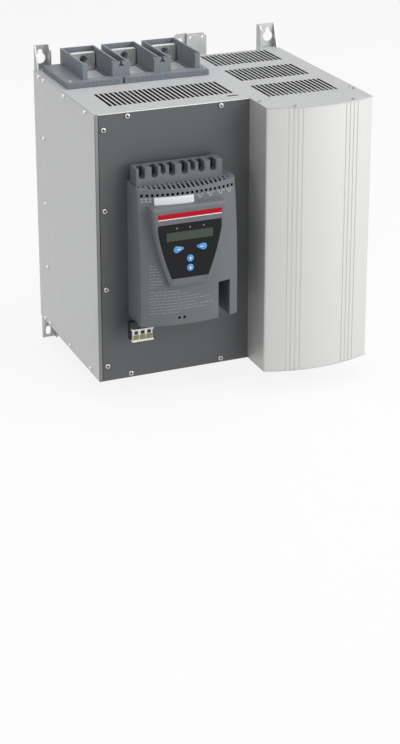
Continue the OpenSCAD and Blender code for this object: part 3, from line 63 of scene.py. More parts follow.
weld = 1e-6  # points nearer than this, in metres, become one
softEdge = 0.0005  # metres over which a painted box fades out
toneRange = (0.3, 0.7)  # where the values of a noise mostly lie
pureWhite = (1.0, 1.0, 1.0, 1.0)
print("frame loaded:", len(nodes), "nodes")


# Shader maths: a socket that expressions can be written on
class Wire:
    def __init__(self, tree, socket):
        self.tree = tree
        self.socket = socket

    def plug(self, value, socket):
        if isinstance(value, Wire):
            self.tree.links.new(value.socket, socket)
        else:
            socket.default_value = value

    # any node: its settings are set first, then its sockets get values or links
    def node(self, kind, settings=None, links=None, out=0):
        made = self.tree.nodes.new("ShaderNode" + kind)
        for key, value in (settings or {}).items():
            setattr(made, key, value)
        for key, value in (links or {}).items():
            self.plug(value, made.inputs[key])
        return Wire(self.tree, made.outputs[out])

    def maths(self, operation, first, second=None):
        links = {0: first} if second is None else {0: first, 1: second}
        return self.node("Math", {"operation": operation}, links)

    def __add__(self, other):
        return self.maths("ADD", self, other)

    def __sub__(self, other):
        return self.maths("SUBTRACT", self, other)

    def __rsub__(self, other):
        return self.maths("SUBTRACT", other, self)

    def __mul__(self, other):
        return self.maths("MULTIPLY", self, other)

    def __abs__(self):
        return self.maths("ABSOLUTE", self)

    __radd__ = __add__
    __rmul__ = __mul__

    # 0 to 1 as the value goes from low to high
    def between(self, low, high):
        links = {"Value": self, "From Min": low, "From Max": high}
        return self.node("MapRange", {"clamp": True}, links)

    # inputs 6 and 7 and output 2 of a Mix node are its colours
    def blend(self, first, second):
        links = {0: self, 6: first, 7: second}
        return self.node("Mix", {"data_type": "RGBA"}, links, out=2)

    def stretched(self, scale):
        return self.node("Mapping", None, {"Vector": self, "Scale": scale})

    def noise(self, size, detail=2.0, rough=0.5):
        links = {"Vector": self, "Scale": 1.0 / size, "Detail": detail, "Roughness": rough}
        return self.node("TexNoise", None, links)

    def axis(self, number):
        return self.node("SeparateXYZ", None, {0: self}, out=number)

    # 1 where one axis lies between low and high
    def inside(self, number, low, high):
        along = self.axis(number)
        return along.between(low - softEdge, low) * (1 - along.between(high, high + softEdge))

    # one random value for each cell
    def cells(self, size):
        shade = self.node("TexVoronoi", None, {"Vector": self, "Scale": 1.0 / size}, out="Color")
        return self.node("SeparateColor", None, {0: shade})


def rgba(shade):
    return (*shade, 1.0)


def scaled(shade, factor):
    return rgba([min(1.0, c * factor) for c in shade])


def newFinish(name, **fixed):
    finish = bpy.data.materials.new(name)
    finish.use_nodes = True
    tree = finish.node_tree
    shader = tree.nodes["Principled BSDF"]
    for key, value in fixed.items():
        shader.inputs[key.replace("_", " ")].default_value = value
    coords = Wire(tree, tree.nodes.new("ShaderNodeTexCoord").outputs["Object"])
    return finish, shader, coords


def bumped(coords, shader, height, depth, strength):
    links = {"Strength": strength, "Distance": depth, "Height": height}
    coords.plug(coords.node("Bump", None, links), shader.inputs["Normal"])


# Sheet metal: spangle cells, rolling lines along one axis and clouds add up to a tone, which shifts
# the colour either way. In a box in X and Y, the cut edges of punched slots between two heights are
# painted dark: painted shade. A band at one height, at the tips of bars, is painted bright and less
# metallic: a painted highlight. Lengths of all finishes are in metres.
# A noise is given as its size, detail and roughness.
sheetLook = dict(
    across=320.0, along=5.0, lineNoise=(1.0, 3.0, 0.6), cell=0.009, cloudNoise=(0.11, 3.0, 0.55),
    clouds=0.10, roughDrop=0.06, roughCells=0.05, roughClouds=0.08, bump=0.00004, bumpShare=0.5,
    slotShadeFade=0.0001, highlightFrom=0.0006, highlightTo=0.0003)


def sheetMetal(name, shade, metallic, rough, lineAxis, spangle, lines, vary=0.08, specular=0.5,
               slots=None, tipHighlight=None):
    look = sheetLook
    finish, shader, coords = newFinish(name, Metallic=metallic, Specular_IOR_Level=specular)
    stretch = [look["across"]] * 3
    stretch[lineAxis] = look["along"]
    rolling = coords.stretched(stretch).noise(*look["lineNoise"])
    spots = coords.cells(look["cell"])
    cloud = coords.noise(*look["cloudNoise"])
    tone = spots * spangle + rolling * lines + cloud * look["clouds"]
    share = tone.between(0.0, spangle + lines + look["clouds"])
    tint = share.blend(scaled(shade, 1 - vary), scaled(shade, 1 + vary))
    # painted shade: the slots' cut edges in the box are painted near-black
    if slots:
        edge = coords.inside(0, *slots["x"]) * coords.inside(1, *slots["y"])
        height = abs(coords.axis(2))
        deep, skin, fade = slots["deep"], slots["skin"], look["slotShadeFade"]
        edge = edge * height.between(deep - fade, deep) * (1 - height.between(skin, skin + fade))
        tint = edge.blend(tint, rgba(slots["shade"]))
    # painted highlight: a bright band at the bars' tips
    if tipHighlight:
        height = abs(coords.axis(2))
        highlight = height.between(tipHighlight["level"] - look["highlightFrom"], tipHighlight["level"] - look["highlightTo"])
        tint = highlight.blend(tint, rgba(tipHighlight["shade"]))
        coords.plug(metallic * (1 - highlight), shader.inputs["Metallic"])
    coords.plug(tint, shader.inputs["Base Color"])
    gloss = rough - look["roughDrop"] + spots * look["roughCells"] + cloud * look["roughClouds"]
    coords.plug(gloss, shader.inputs["Roughness"])
    bumped(coords, shader, rolling, look["bump"], look["bumpShare"])
    return finish


# Coated or moulded surface: fine grain in the normal, soft drift in the colour
grainLook = dict(
    fineDetail=2.0, fineRough=0.6, softNoise=(0.05, 3.0, 0.5), fineShare=0.4, softShare=0.6,
    drift=0.06, roughDrop=0.05, roughFine=0.06, roughSoft=0.05, bumpShare=0.6)


def grainy(name, shade, rough, grain, depth, specular):
    look = grainLook
    finish, shader, coords = newFinish(name, Specular_IOR_Level=specular)
    fine = coords.noise(grain, look["fineDetail"], look["fineRough"])
    soft = coords.noise(*look["softNoise"])
    tone = fine * look["fineShare"] + soft * look["softShare"]
    share = tone.between(*toneRange)
    tint = share.blend(scaled(shade, 1 - look["drift"]), scaled(shade, 1 + look["drift"]))
    coords.plug(tint, shader.inputs["Base Color"])
    gloss = rough - look["roughDrop"] + fine * look["roughFine"] + soft * look["roughSoft"]
    coords.plug(gloss, shader.inputs["Roughness"])
    bumped(coords, shader, fine, depth, look["bumpShare"])
    return finish


# Finishes by name, in the order of sheetMetal's inputs: shade, metallic, roughness, axis of the
# lines, spangle and lines. Extras are the inputs that only some finishes set.
metalLooks = {
    "zinc": ((0.56, 0.565, 0.57), 0.75, 0.44, 2, 0.10, 0.22),
    "zincTop": ((0.51, 0.515, 0.52), 0.15, 0.55, 0, 0.10, 0.22),
    # zincRailShaded is the zinc darkened for the rails and bracket, which stand in the case's
    # shade: painted shade
    "zincRailShaded": ((0.475, 0.48, 0.485), 0.70, 0.42, 2, 0.10, 0.22),
    # zincEdge is the zinc darkened for the side's front flange: painted shade
    "zincEdge": ((0.20, 0.202, 0.205), 0.40, 0.50, 2, 0.05, 0.22),
    "brushedCover": ((0.575, 0.575, 0.565), 0.65, 0.54, 2, 0.02, 0.30),
    "screwSteel": ((0.60, 0.60, 0.61), 0.97, 0.22, 0, 0.03, 0.05),
    "screwDull": ((0.66, 0.66, 0.67), 0.92, 0.26, 0, 0.03, 0.05),
    # screwMattShaded is the screw steel darkened against the top lamp's sheen: painted shade
    "screwMattShaded": ((0.36, 0.362, 0.37), 0.45, 0.5, 0, 0.03, 0.05),
    "tinned": ((0.84, 0.84, 0.83), 0.78, 0.27, 2, 0.05, 0.25),
    # copperBarShaded and sinkAlloyShaded are darker than their metals, painted shade, so that the
    # grilles in the top read black
    "copperBarShaded": ((0.17, 0.083, 0.052), 0.8, 0.45, 0, 0.05, 0.25),
    "sinkAlloyShaded": ((0.05, 0.051, 0.053), 0.4, 0.55, 2, 0.02, 0.30),
    "coreSteel": ((0.20, 0.205, 0.21), 0.8, 0.45, 1, 0.02, 0.45),
}
metalExtras = {
    # painted shade: the cut edges of the top and bottom plates' slots are near-black
    "zincTop": dict(specular=0.10, slots=dict(x=(-0.195, 0.205), y=(-0.285, -0.030), deep=0.2150,
                                              skin=0.2173, shade=(0.02, 0.02, 0.021))),
    "brushedCover": dict(vary=0.03),
    "screwMattShaded": dict(specular=0.2),
    # painted highlight at the tips of the line and load bars
    "tinned": dict(tipHighlight=dict(level=float(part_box("line_bar_left")[1][2]),
                             shade=(0.93, 0.93, 0.92))),
}
# The same in the order of grainy's inputs: shade, roughness, size and depth of the grain, specular
plasticLooks = {
    "darkCoat": ((0.082, 0.085, 0.088), 0.46, 0.0011, 0.00008, 0.5),
    "unitPlastic": ((0.122, 0.134, 0.147), 0.48, 0.0007, 0.00005, 0.35),
    "bezelPlastic": ((0.123, 0.131, 0.140), 0.45, 0.0006, 0.00004, 0.35),
    "shroudPlastic": ((0.194, 0.217, 0.243), 0.48, 0.0009, 0.00006, 0.35),
    # blackPlastic: black plastic parts, and also painted shade in and behind the plug's openings
    "blackPlastic": ((0.012, 0.012, 0.013), 0.5, 0.0009, 0.00005, 0.5),
    # holeBlack paints shade black in the unit's pockets, the screw recesses and the gap beside the
    # side flange
    "holeBlack": ((0.004, 0.004, 0.004), 0.8, 0.0009, 0.00002, 0.05),
    "padBlack": ((0.009, 0.009, 0.010), 0.42, 0.0005, 0.00002, 0.15),
    "ivoryPlastic": ((0.50, 0.48, 0.42), 0.5, 0.0009, 0.00005, 0.5),
    "plugWhite": ((0.80, 0.80, 0.77), 0.42, 0.0007, 0.00004, 0.5),
    "plugOlive": ((0.21, 0.20, 0.075), 0.42, 0.0007, 0.00004, 0.5),
    "keyBlue": ((0.075, 0.27, 0.60), 0.32, 0.0006, 0.00002, 0.4),
    "markWhite": ((0.80, 0.81, 0.82), 0.5, 0.0006, 0.00002, 0.5),
    "markGrey": ((0.48, 0.49, 0.51), 0.55, 0.0006, 0.00002, 0.5),
    "markFaint": ((0.25, 0.26, 0.275), 0.55, 0.0006, 0.00002, 0.5),
    "stripRed": ((0.40, 0.003, 0.016), 0.5, 0.0006, 0.00002, 0.12),
    "labelPaper": ((0.74, 0.75, 0.77), 0.6, 0.0005, 0.00002, 0.5),
    "boardGreen": ((0.03, 0.16, 0.07), 0.45, 0.0012, 0.00005, 0.5),
    "windingBrown": ((0.20, 0.08, 0.035), 0.4, 0.0012, 0.00010, 0.5),
    "displayGlass": ((0.048, 0.063, 0.050), 0.30, 0.0012, 0.00001, 0.25),
}
finishes = {name: sheetMetal(name, *look, **metalExtras.get(name, {}))
            for name, look in metalLooks.items()}
finishes.update({name: grainy(name, *look) for name, look in plasticLooks.items()})
print("finishes made:", len(finishes))

# Nodes by finish; each word stands for all nodes that start with it
finishNodes = {
    "zinc": "back_plate left_side_panel right_side_panel divider_panel",
    "zincTop": "top_plate bottom_plate cover_cap",
    "zincRailShaded": "mount_rail joining_bracket",
    "brushedCover": "right_cover",
    "screwSteel": "panel_screws",
    "screwDull": "case_screws",
    "tinned": "line_bar load_bar",
    "copperBarShaded": "contact_bridges fixed_contacts line_links load_links",
    "sinkAlloyShaded": "heat_sink",
    "coreSteel": "contactor_core contactor_armature",
    "darkCoat": "front_panel",
    "unitPlastic": "control_housing",
    "bezelPlastic": "keypad_bezel",
    "shroudPlastic": "line_shroud load_shroud",
    "blackPlastic": "contactor_base contactor_cover terminal_block current_transformer fan_",
    "padBlack": "keypad_panel",
    "ivoryPlastic": "contactor_carriage thyristor",
    "plugWhite": "terminal_plug",
    "keyBlue": "key_",
    "boardGreen": "control_board",
    "windingBrown": "contactor_coil",
    "displayGlass": "display",
}
for name, node in nodes.items():
    finish = next(key for key, starts in finishNodes.items()
                  if name.startswith(tuple(starts.split())))
    node.data.materials.clear()
    node.data.materials.append(finishes[finish])
print("nodes finished")


# Faces of a rows by columns grid of points, each square once
def gridFaces(rows, columns, wrapRows=False, wrapColumns=False):
    r = np.arange(rows if wrapRows else rows - 1)[:, None]
    c = np.arange(columns if wrapColumns else columns - 1)[None, :]
    nextR, nextC = (r + 1) % rows, (c + 1) % columns
    corners = [r * columns + c, r * columns + nextC, nextR * columns + nextC, nextR * columns + c]
    return np.stack(np.broadcast_arrays(*corners), -1).reshape(-1, 4)


# A stack of closed rings joined in order, with a flat face on each end
def ringShell(rings):
    rows, columns = rings.shape[:2]
    last = (rows - 1) * columns
    ends = [list(range(columns))[::-1], list(range(last, last + columns))]
    return rings.reshape(-1, 3), gridFaces(rows, columns, wrapColumns=True).tolist() + ends


def addObject(name, data):
    made = bpy.data.objects.new(name, data)
    bpy.context.scene.collection.objects.link(made)
    return made


# One mesh object from shells of points and faces, its normals turned outwards.
# Shades are the faces' numbers in the list of finishes; stands are the nodes that it replaces.
def makePiece(name, shells, finishNames, body="case", stands=(), sharp=32, shades=None):
    points, faces, start = [], [], 0
    for shellPoints, shellFaces in shells:
        points.append(np.asarray(shellPoints, float).reshape(-1, 3))
        faces += [[i + start for i in face] for face in shellFaces]
        start += len(points[-1])
    mesh = bpy.data.meshes.new(name)
    mesh.from_pydata(np.concatenate(points).tolist(), [], faces)
    for finish in [finishNames] if isinstance(finishNames, str) else finishNames:
        mesh.materials.append(finishes[finish])
    if shades is not None:
        mesh.polygons.foreach_set("material_index", np.asarray(shades, np.int32))
    work = bmesh.new()
    work.from_mesh(mesh)
    bmesh.ops.remove_doubles(work, verts=work.verts, dist=weld)
    bmesh.ops.recalc_face_normals(work, faces=work.faces)
    work.to_mesh(mesh)
    work.free()
    mesh.polygons.foreach_set("use_smooth", np.ones(len(mesh.polygons), bool))
    mesh.set_sharp_from_angle(angle=math.radians(sharp))
    piece = addObject(name, mesh)
    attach(piece, body)
    if stands:
        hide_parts(*stands)


# Case millimetres, x from the left side and z from the bottom, to metres in the frame
def place(x, y, z):
    parts = np.broadcast_arrays(*(np.asarray(part, float) for part in (x, y, z)))
    return np.stack(parts, -1) * mm - np.array([caseHalf, 0.0, caseHalf])


# A loop of corners moved inwards along its mitres; the loop runs anticlockwise
def inset(loop, distance):
    edge = np.roll(loop, -1, 0) - loop
    normal = np.stack([edge[:, 1], -edge[:, 0]], -1)
    normal = normal / np.linalg.norm(normal, axis=1)[:, None]
    before = np.roll(normal, 1, 0)
    mitre = (normal + before) / (1.0 + (normal * before).sum(1))[:, None]
    return loop - mitre * distance


# Quadratic curve from a to c that leaves and arrives towards b
def bend(a, b, c, t):
    return (1 - t) ** 2 * a + 2 * t * (1 - t) * b + t ** 2 * c


# Corners of a loop turned into quadratic curves between points a radius away
def rounded(corners, radius, steps):
    corners = np.asarray(corners, float)
    toNext = np.roll(corners, -1, 0) - corners
    toLast = np.roll(corners, 1, 0) - corners
    reach = np.broadcast_to(np.asarray(radius, float), len(corners))[:, None]
    leave = corners + toNext / np.linalg.norm(toNext, axis=1)[:, None] * reach
    enter = corners + toLast / np.linalg.norm(toLast, axis=1)[:, None] * reach
    t = np.linspace(0, 1, steps + 1)[None, :, None]
    return bend(enter[:, None], corners[:, None], leave[:, None], t).reshape(-1, 2)


def rectangle(x0, x1, z0, z1, radius, steps):
    return rounded([(x0, z0), (x1, z0), (x1, z1), (x0, z1)], radius, steps)


# A loop in X and Z set at one depth
def atDepth(loop, depth):
    return place(loop[:, 0], depth, loop[:, 1])


# A loop in X and Z carried from depth near to depth far along Y, its near rim a quarter round
def frontSlab(loop, near, far, rim, steps):
    turn = np.linspace(0, math.pi / 2, steps + 1)
    rings = [atDepth(inset(loop, rim * (1 - math.sin(a))), near + rim * (1 - math.cos(a)))
             for a in turn]
    return ringShell(np.stack(rings + [atDepth(loop, far)]))


# Right cover: the plan runs up the left side, along the bow and back down the right side.
# On the bow the radius drops by the groove depth wherever the chord offset lies in a groove.
coverLook = dict(
    left=254.0, right=caseSize, front=363.0, bow=18.0, wall=3.0, tuck=282.0, back=273.0, cap=2.0,
    corner=3.2, grooveOff=48.0, groovePitch=7.3, grooveCount=4, grooveWidth=3.0, grooveDeep=0.85,
    grooveSide=0.5, bowSteps=90, cornerSteps=8, liningSkip=4, liningIn=0.6, sharp=24)
coverHalf = (coverLook["right"] - coverLook["left"]) / 2
coverMiddle = coverLook["left"] + coverHalf
bowRadius = (coverHalf ** 2 + coverLook["bow"] ** 2) / (2 * coverLook["bow"])
bowAxis = bowRadius - coverLook["front"] - coverLook["bow"]


def makeCover(look):
    left, right, wall = look["left"], look["right"], look["wall"]
    side, halfWidth = look["grooveSide"], look["grooveWidth"] / 2
    order = np.arange(look["grooveCount"]) - (look["grooveCount"] - 1) / 2
    grooves = (bothSides[:, None] * look["grooveOff"] + order * look["groovePitch"]).ravel()
    reach = coverHalf - look["corner"]
    steps = np.linspace(-reach, reach, look["bowSteps"])
    edges = grooves[:, None] + bothSides * halfWidth
    near = edges[..., None] + bothSides * side
    chord = np.unique(np.concatenate([steps, near.ravel(), edges.ravel()]))
    gap = np.abs(chord[:, None] - grooves[None]).min(1)
    fill = np.clip((halfWidth + side - gap) / (2 * side), 0, 1)
    turn = np.arcsin(chord / bowRadius)

    def arc(r):
        return np.stack([coverMiddle + r * np.sin(turn), bowAxis - r * np.cos(turn)], -1)

    t = np.linspace(0, 1, look["cornerSteps"])[:, None]
    outer = arc(bowRadius - look["grooveDeep"] * fill)
    leftEdge, rightEdge = np.array([(left, -look["front"]), (right, -look["front"])])
    back = np.array([0.0, look["corner"]])
    inner = -look["front"] + wall * look["liningIn"]
    loop = np.concatenate([
        [(left, -look["tuck"])], bend(leftEdge + back, leftEdge, outer[0], t), outer[1:-1],
        bend(outer[-1], rightEdge, rightEdge + back, t), [(right, -look["back"])],
        [(right - wall, -look["back"]), (right - wall, inner)],
        arc(bowRadius - wall)[::-look["liningSkip"]],
        [(left + wall, inner), (left + wall, -look["tuck"])]])
    levels = (look["cap"], caseSize - look["cap"])
    rings = np.stack([place(loop[:, 0], loop[:, 1], z) for z in levels])
    makePiece("bowedCover", [ringShell(rings)], "brushedCover",
              stands=["right_cover"], sharp=look["sharp"])


makeCover(coverLook)
print("cover made")


# Control unit. Its front is turned about an upright axis, with a radius that shrinks by
# lean * s * s up the height, under a shelf that falls to the front.
# Lengths are from the unit's left, the front panel and the unit's bottom.
unitLook = dict(
    left=50.0, bottom=105.0, width=161.0, height=222.0, depth=54.0, bow=13.0, lean=11.0,
    leanUp=75.0, shelfHigh=6.0, shelfBack=36.0, corner=1.2, foot=0.8, rim=0.5, recessLeft=125.5,
    recessRight=146.5, recessHigh=60.0, recessBack=14.0, holeFrame=2.6, holeDeep=9.0, ventCount=20,
    ventMargin=6.5, ventDown=6.5, ventR=2.2, pinMiddle=63.0, pinPitch=8.0, pinUp=12.0, pinR=2.1,
    dotFirst=4.0, dotPitch=7.7, dotWidth=2.8, dotNear=40.1, dotFar=37.3, slotWidth=3.2, slotIn=1.8,
    slotFar=41.9, slotLeast=3.5, spokes=16, frontSteps=14, cornerSteps=6, footSteps=4, rimRounds=5,
    lowRow=36.0, highRows=(75.0, 95.0, 115.0, 135.0, 150.0, 165.0, 180.0, 195.0))
unitHalf = unitLook["width"] / 2
unitShelf = unitLook["height"] - unitLook["shelfHigh"]
unitRadius = (unitHalf ** 2 + unitLook["bow"] ** 2) / (2 * unitLook["bow"])
shelfFront = unitLook["depth"] + unitLook["bow"] - unitLook["lean"]
shelfSlope = unitLook["shelfHigh"] / (shelfFront - unitLook["shelfBack"])


def unitFront(x, z):
    rise = np.clip(np.asarray(z) - unitLook["leanUp"], 0, None) / (unitShelf - unitLook["leanUp"])
    radius = unitRadius - unitLook["lean"] * rise ** 2
    axis = unitLook["depth"] + unitLook["bow"] - unitRadius
    return axis + np.sqrt(radius ** 2 - (np.asarray(x) - unitHalf) ** 2)


def shelfLevel(out):
    return unitLook["height"] - shelfSlope * np.clip(out - unitLook["shelfBack"], 0, None)


def unitPlace(x, out, z):
    return place(unitLook["left"] + np.asarray(x), panelFront - np.asarray(out),
                 unitLook["bottom"] + np.asarray(z))


ventEnd = unitLook["width"] - unitLook["ventMargin"]
ventX = np.linspace(unitLook["ventMargin"], ventEnd, unitLook["ventCount"])
dotX = unitLook["dotFirst"] + unitLook["dotPitch"] * np.arange(unitLook["ventCount"])
pinX = unitLook["pinMiddle"] + unitLook["pinPitch"] / 2 * bothSides


# The shell is a grid: columns go round the plan, with quadratic corners, and rows go up the front
# and over the shelf. Cells of the grid are left out for the recess and for the holes, which get
# a rim and a pocket each. The pockets' walls and floors are painted black: painted shade.
def makeUnitShell(look):
    w, r, spokes = look["width"], look["corner"], look["spokes"]
    frameHalf, dotHalf, slotHalf = look["holeFrame"], look["dotWidth"] / 2, look["slotWidth"] / 2
    ventZ = unitShelf - look["ventDown"]
    recessX = np.array([look["recessLeft"], look["recessRight"]])
    spans = [(ventX, frameHalf), (pinX, frameHalf), (dotX, dotHalf), (dotX, slotHalf)]
    cuts = [(middle[:, None] + half * bothSides).ravel() for middle, half in spans]
    front = np.concatenate([np.linspace(r, w - r, look["frontSteps"]), *cuts, recessX])
    front = np.unique(np.round(front, 4))
    front = front[(front >= r) & (front <= w - r)]
    t = np.linspace(0, 1, look["cornerSteps"])[1:-1]
    across = np.concatenate([r * t ** 2, front, w - r * (1 - t) ** 2])
    setBack = np.concatenate([r * (1 - t) ** 2, np.zeros(len(front)), r * t ** 2])
    turn = np.linspace(0, math.pi / 2, look["footSteps"])
    low = look["foot"] * (1 - np.cos(turn))
    rise = [look["pinUp"] - frameHalf, look["pinUp"] + frameHalf, look["lowRow"],
            look["recessHigh"], *look["highRows"], ventZ - frameHalf, ventZ + frameHalf]
    level = np.concatenate([low, rise])
    footBack = np.concatenate([look["foot"] * (1 - np.sin(turn)), np.zeros(len(rise))])
    frontZ = np.broadcast_to(level[:, None], (len(level), len(across)))
    frontOut = unitFront(across[None], frontZ) - setBack[None] - footBack[:, None]
    rimZ = np.full(len(across), unitShelf)
    for _ in range(look["rimRounds"]):  # closes in on where the front meets the shelf
        rimOut = unitFront(across, rimZ) - setBack
        rimZ = shelfLevel(rimOut)
    edgeZ = rimZ - look["rim"]
    edgeOut = unitFront(across, edgeZ) - setBack
    shelfOut = [rimOut - look["rim"], rimOut - look["slotIn"]]
    for stop in (look["slotFar"], look["dotNear"], look["dotFar"], look["shelfBack"]):
        shelfOut.append(np.minimum(shelfOut[-1], stop))
    shelfOut = np.stack(shelfOut)
    out = np.concatenate([frontOut, edgeOut[None], shelfOut])
    height = np.concatenate([frontZ, edgeZ[None], shelfLevel(shelfOut)])
    rear = np.zeros((len(out), 1))
    ringX = np.concatenate([rear, np.broadcast_to(across, out.shape), rear + w], 1)
    ringOut = np.concatenate([rear, out, rear], 1)
    ringZ = np.concatenate([height[:, :1], height, height[:, -1:]], 1)
    flat = unitPlace(ringX, ringOut, ringZ).reshape(-1, 3)
    rows, columns = ringX.shape
    quads = gridFaces(rows, columns, wrapColumns=True)
    row, column = quads[:, 0] // columns, quads[:, 0] % columns
    kept = np.ones(len(quads), bool)

    def columnAt(x):
        return 1 + int(np.argmin(np.abs(across - x)))

    # takes a cell out of the grid and returns its outline, from the lower left round
    def cell(x, half, atRow):
        first, last = columnAt(x - half), columnAt(x + half)
        kept[(row == atRow) & (column >= first) & (column < last)] = False
        span = np.arange(first, last + 1)
        outline = np.concatenate([atRow * columns + span, (atRow + 1) * columns + span[::-1]])
        return outline, len(span)

    # walls of a pocket between two rings of points, and its floor
    def pocket(mouth, deep):
        walls = np.stack([mouth, np.roll(mouth, -1), np.roll(deep, -1), deep], -1)
        return walls.tolist() + [deep.tolist()]

    extra, plain, shadeFaces, start = [], [], [], len(flat)
    spin = np.arange(spokes) * 2 * math.pi / spokes
    half = spokes // 2
    pinRow, ventRow = len(low), len(level) - 2  # each starts at the foot of its frame
    holes = [(x, ventZ, look["ventR"], ventRow) for x in ventX]
    holes += [(x, look["pinUp"], look["pinR"], pinRow) for x in pinX]
    for x, z, radius, atRow in holes:
        outline, side = cell(x, frameHalf, atRow)
        hx, hz = x + radius * np.cos(spin), z + radius * np.sin(spin)
        mouth = unitFront(hx, hz)
        extra += [unitPlace(hx, mouth, hz), unitPlace(hx, mouth - look["holeDeep"], hz)]
        hole = start + np.arange(spokes)
        under, over = outline[:side], outline[side:]
        plain += [[*under, hole[0], *hole[:half - 1:-1]], [*over, *hole[half::-1]],
                  [over[-1], under[0], hole[half]], [under[-1], over[0], hole[0]]]
        shadeFaces += pocket(hole, hole + spokes)
        start += 2 * spokes
    slotRow, dotRow = len(level) + 2, len(level) + 4  # start at slotIn and at dotNear
    slots = [(x, slotHalf, slotRow) for x in dotX
             if unitFront(x, unitShelf) - look["slotIn"] - look["slotFar"] > look["slotLeast"]]
    for x, wide, atRow in slots + [(x, dotHalf, dotRow) for x in dotX]:
        outline, side = cell(x, wide, atRow)
        extra.append(flat[outline] - np.array([0, 0, look["holeDeep"] * mm]))
        shadeFaces += pocket(outline, start + np.arange(len(outline)))
        start += len(outline)
    # recess: walls from the front's edges to its back, a roof, and an underside without it
    recessRow = len(low) + rise.index(look["recessHigh"])
    first, last = (columnAt(x) for x in recessX)
    kept[(row < recessRow) & (column >= first) & (column < last)] = False
    wallZ = level[:recessRow + 1]
    wallBack = np.full(len(wallZ), look["recessBack"])
    walls = np.stack([unitPlace(recessX[0], ringOut[:recessRow + 1, first], wallZ),
                      unitPlace(recessX[0], wallBack, wallZ),
                      unitPlace(recessX[1], wallBack, wallZ),
                      unitPlace(recessX[1], ringOut[:recessRow + 1, last], wallZ)], 1)
    roof = np.concatenate([flat[recessRow * columns + np.arange(first, last + 1)],
                           unitPlace(recessX[::-1], look["recessBack"], look["recessHigh"])])
    underside = np.concatenate([flat[:first + 1], unitPlace(recessX, look["recessBack"], 0.0),
                                flat[last:columns]])
    top = list(range((rows - 1) * columns, rows * columns))
    faces = quads[kept].tolist() + [top] + plain + shadeFaces
    shells = [(np.concatenate([flat, *extra]), faces),
              (walls, gridFaces(*walls.shape[:2]).tolist()),
              (roof, [list(range(len(roof)))]), (underside, [list(range(len(underside)))])]
    shades = np.zeros(sum(len(f) for _, f in shells), int)
    # faces in the pockets take the second finish, near-black: painted shade
    shades[len(faces) - len(shadeFaces):len(faces)] = 1
    return shells, shades.tolist()


# Terminal ridge: its front outline has round-bottomed notches cut from the top,
# carried back to a plain slab
ridgeLook = dict(
    left=2.0, length=141.0, height=27.0, foot=6.0, standOff=10.0, deep=26.0, slab=6.5, rim=0.6,
    rimSteps=3, small=(2, 5), at=(0.066, 0.212, 0.31, 0.412, 0.558, 0.652, 0.753, 0.892), wide=10.0,
    wideDown=17.0, narrow=7.5, narrowDown=13.0, bowlSteps=9, slabCorner=0.6, slabRim=0.2)


def makeRidge(look):
    unitTop = unitLook["bottom"] + unitLook["height"]
    top, foot = unitTop + look["height"], unitTop - look["foot"]
    left = unitLook["left"] + look["left"]
    right = left + look["length"]
    narrow = np.isin(np.arange(len(look["at"])), look["small"])
    half = np.where(narrow, look["narrow"], look["wide"])[:, None] / 2
    down = np.where(narrow, look["narrowDown"], look["wideDown"])[:, None]
    middle = left + np.array(look["at"])[:, None] * look["length"]
    turn = np.linspace(0, math.pi, look["bowlSteps"])[None]
    brim = np.full(middle.shape, top)
    notchX = np.concatenate([middle + half, middle + half * np.cos(turn), middle - half], 1)
    notchZ = np.concatenate([brim, top - down + half - half * np.sin(turn), brim], 1)
    notches = np.stack([notchX[::-1].ravel(), notchZ[::-1].ravel()], -1)
    loop = np.concatenate([[(left, foot), (right, foot), (right, top)], notches, [(left, top)]])
    front = panelFront - look["standOff"] - look["deep"]
    back = front + look["deep"]
    slab = rectangle(left, right, foot, top, look["slabCorner"], 2)
    return [frontSlab(loop, front, back - look["slab"], look["rim"], look["rimSteps"]),
            frontSlab(slab, back - look["slab"], back, look["slabRim"], 1)]


unitShells, unitShades = makeUnitShell(unitLook)
ridgeShells = makeRidge(ridgeLook)
unitShades += [0] * sum(len(faces) for _, faces in ridgeShells)
makePiece("controlUnit", unitShells + ridgeShells, ["unitPlastic", "holeBlack"],
          stands=["control_housing"], shades=unitShades)
print("control unit made")


# Keypad bezel. Half its width goes straight from top to bottom, with a bulge of 4 b t (1 - t).
bezelLook = dict(
    middle=124.5, bottom=170.0, height=129.0, top=61.0, low=31.5, bulge=5.5, front=372.0, deep=27.0,
    band=27.0, chin=14.0, side=6.5, sideLow=6.0, edgeWide=5.0, edgeDrop=2.2, edgeSteps=6, draft=0.5,
    lip=0.5, sink=2.0, corner=2.4, windowCorner=1.2, sideSteps=15, sideRound=0.8, roundSteps=3,
    padSide=9.2, padSideLow=8.2, padUnder=0.1, frameOver=0.2, frameEdge=0.3, frameBack=1.6,
    sharp=30)
bezelFace = -bezelLook["front"]


def shieldHalf(top, low, bulge, t):
    return top + (low - top) * t + 4 * bulge * t * (1 - t)


# The right side from the bottom up, then the left side from the top down
def shieldLoop(look, top, low, base, height, corner):
    count = look["sideSteps"]
    t = np.linspace(0, 1, count)
    half = shieldHalf(top, low, look["bulge"], t)
    level = base + height * (1 - t)
    right = np.stack([look["middle"] + half, level], -1)[::-1]
    left = np.stack([look["middle"] - half, level], -1)
    radius = np.full(2 * count, look["sideRound"])
    radius[[0, count - 1, count, -1]] = corner
    return rounded(np.concatenate([right, left]), radius, look["roundSteps"])


# The window's outline, with side bands of the given widths at its top and bottom
def windowLoop(look, side, sideLow, trim):
    share = np.array([look["band"], look["height"] - look["chin"]]) / look["height"]
    halves = shieldHalf(look["top"], look["low"], look["bulge"], share)
    height = look["height"] - look["band"] - look["chin"]
    return shieldLoop(look, halves[0] - side, halves[1] - sideLow,
                      look["bottom"] + look["chin"] + trim, height - 2 * trim,
                      look["windowCorner"])


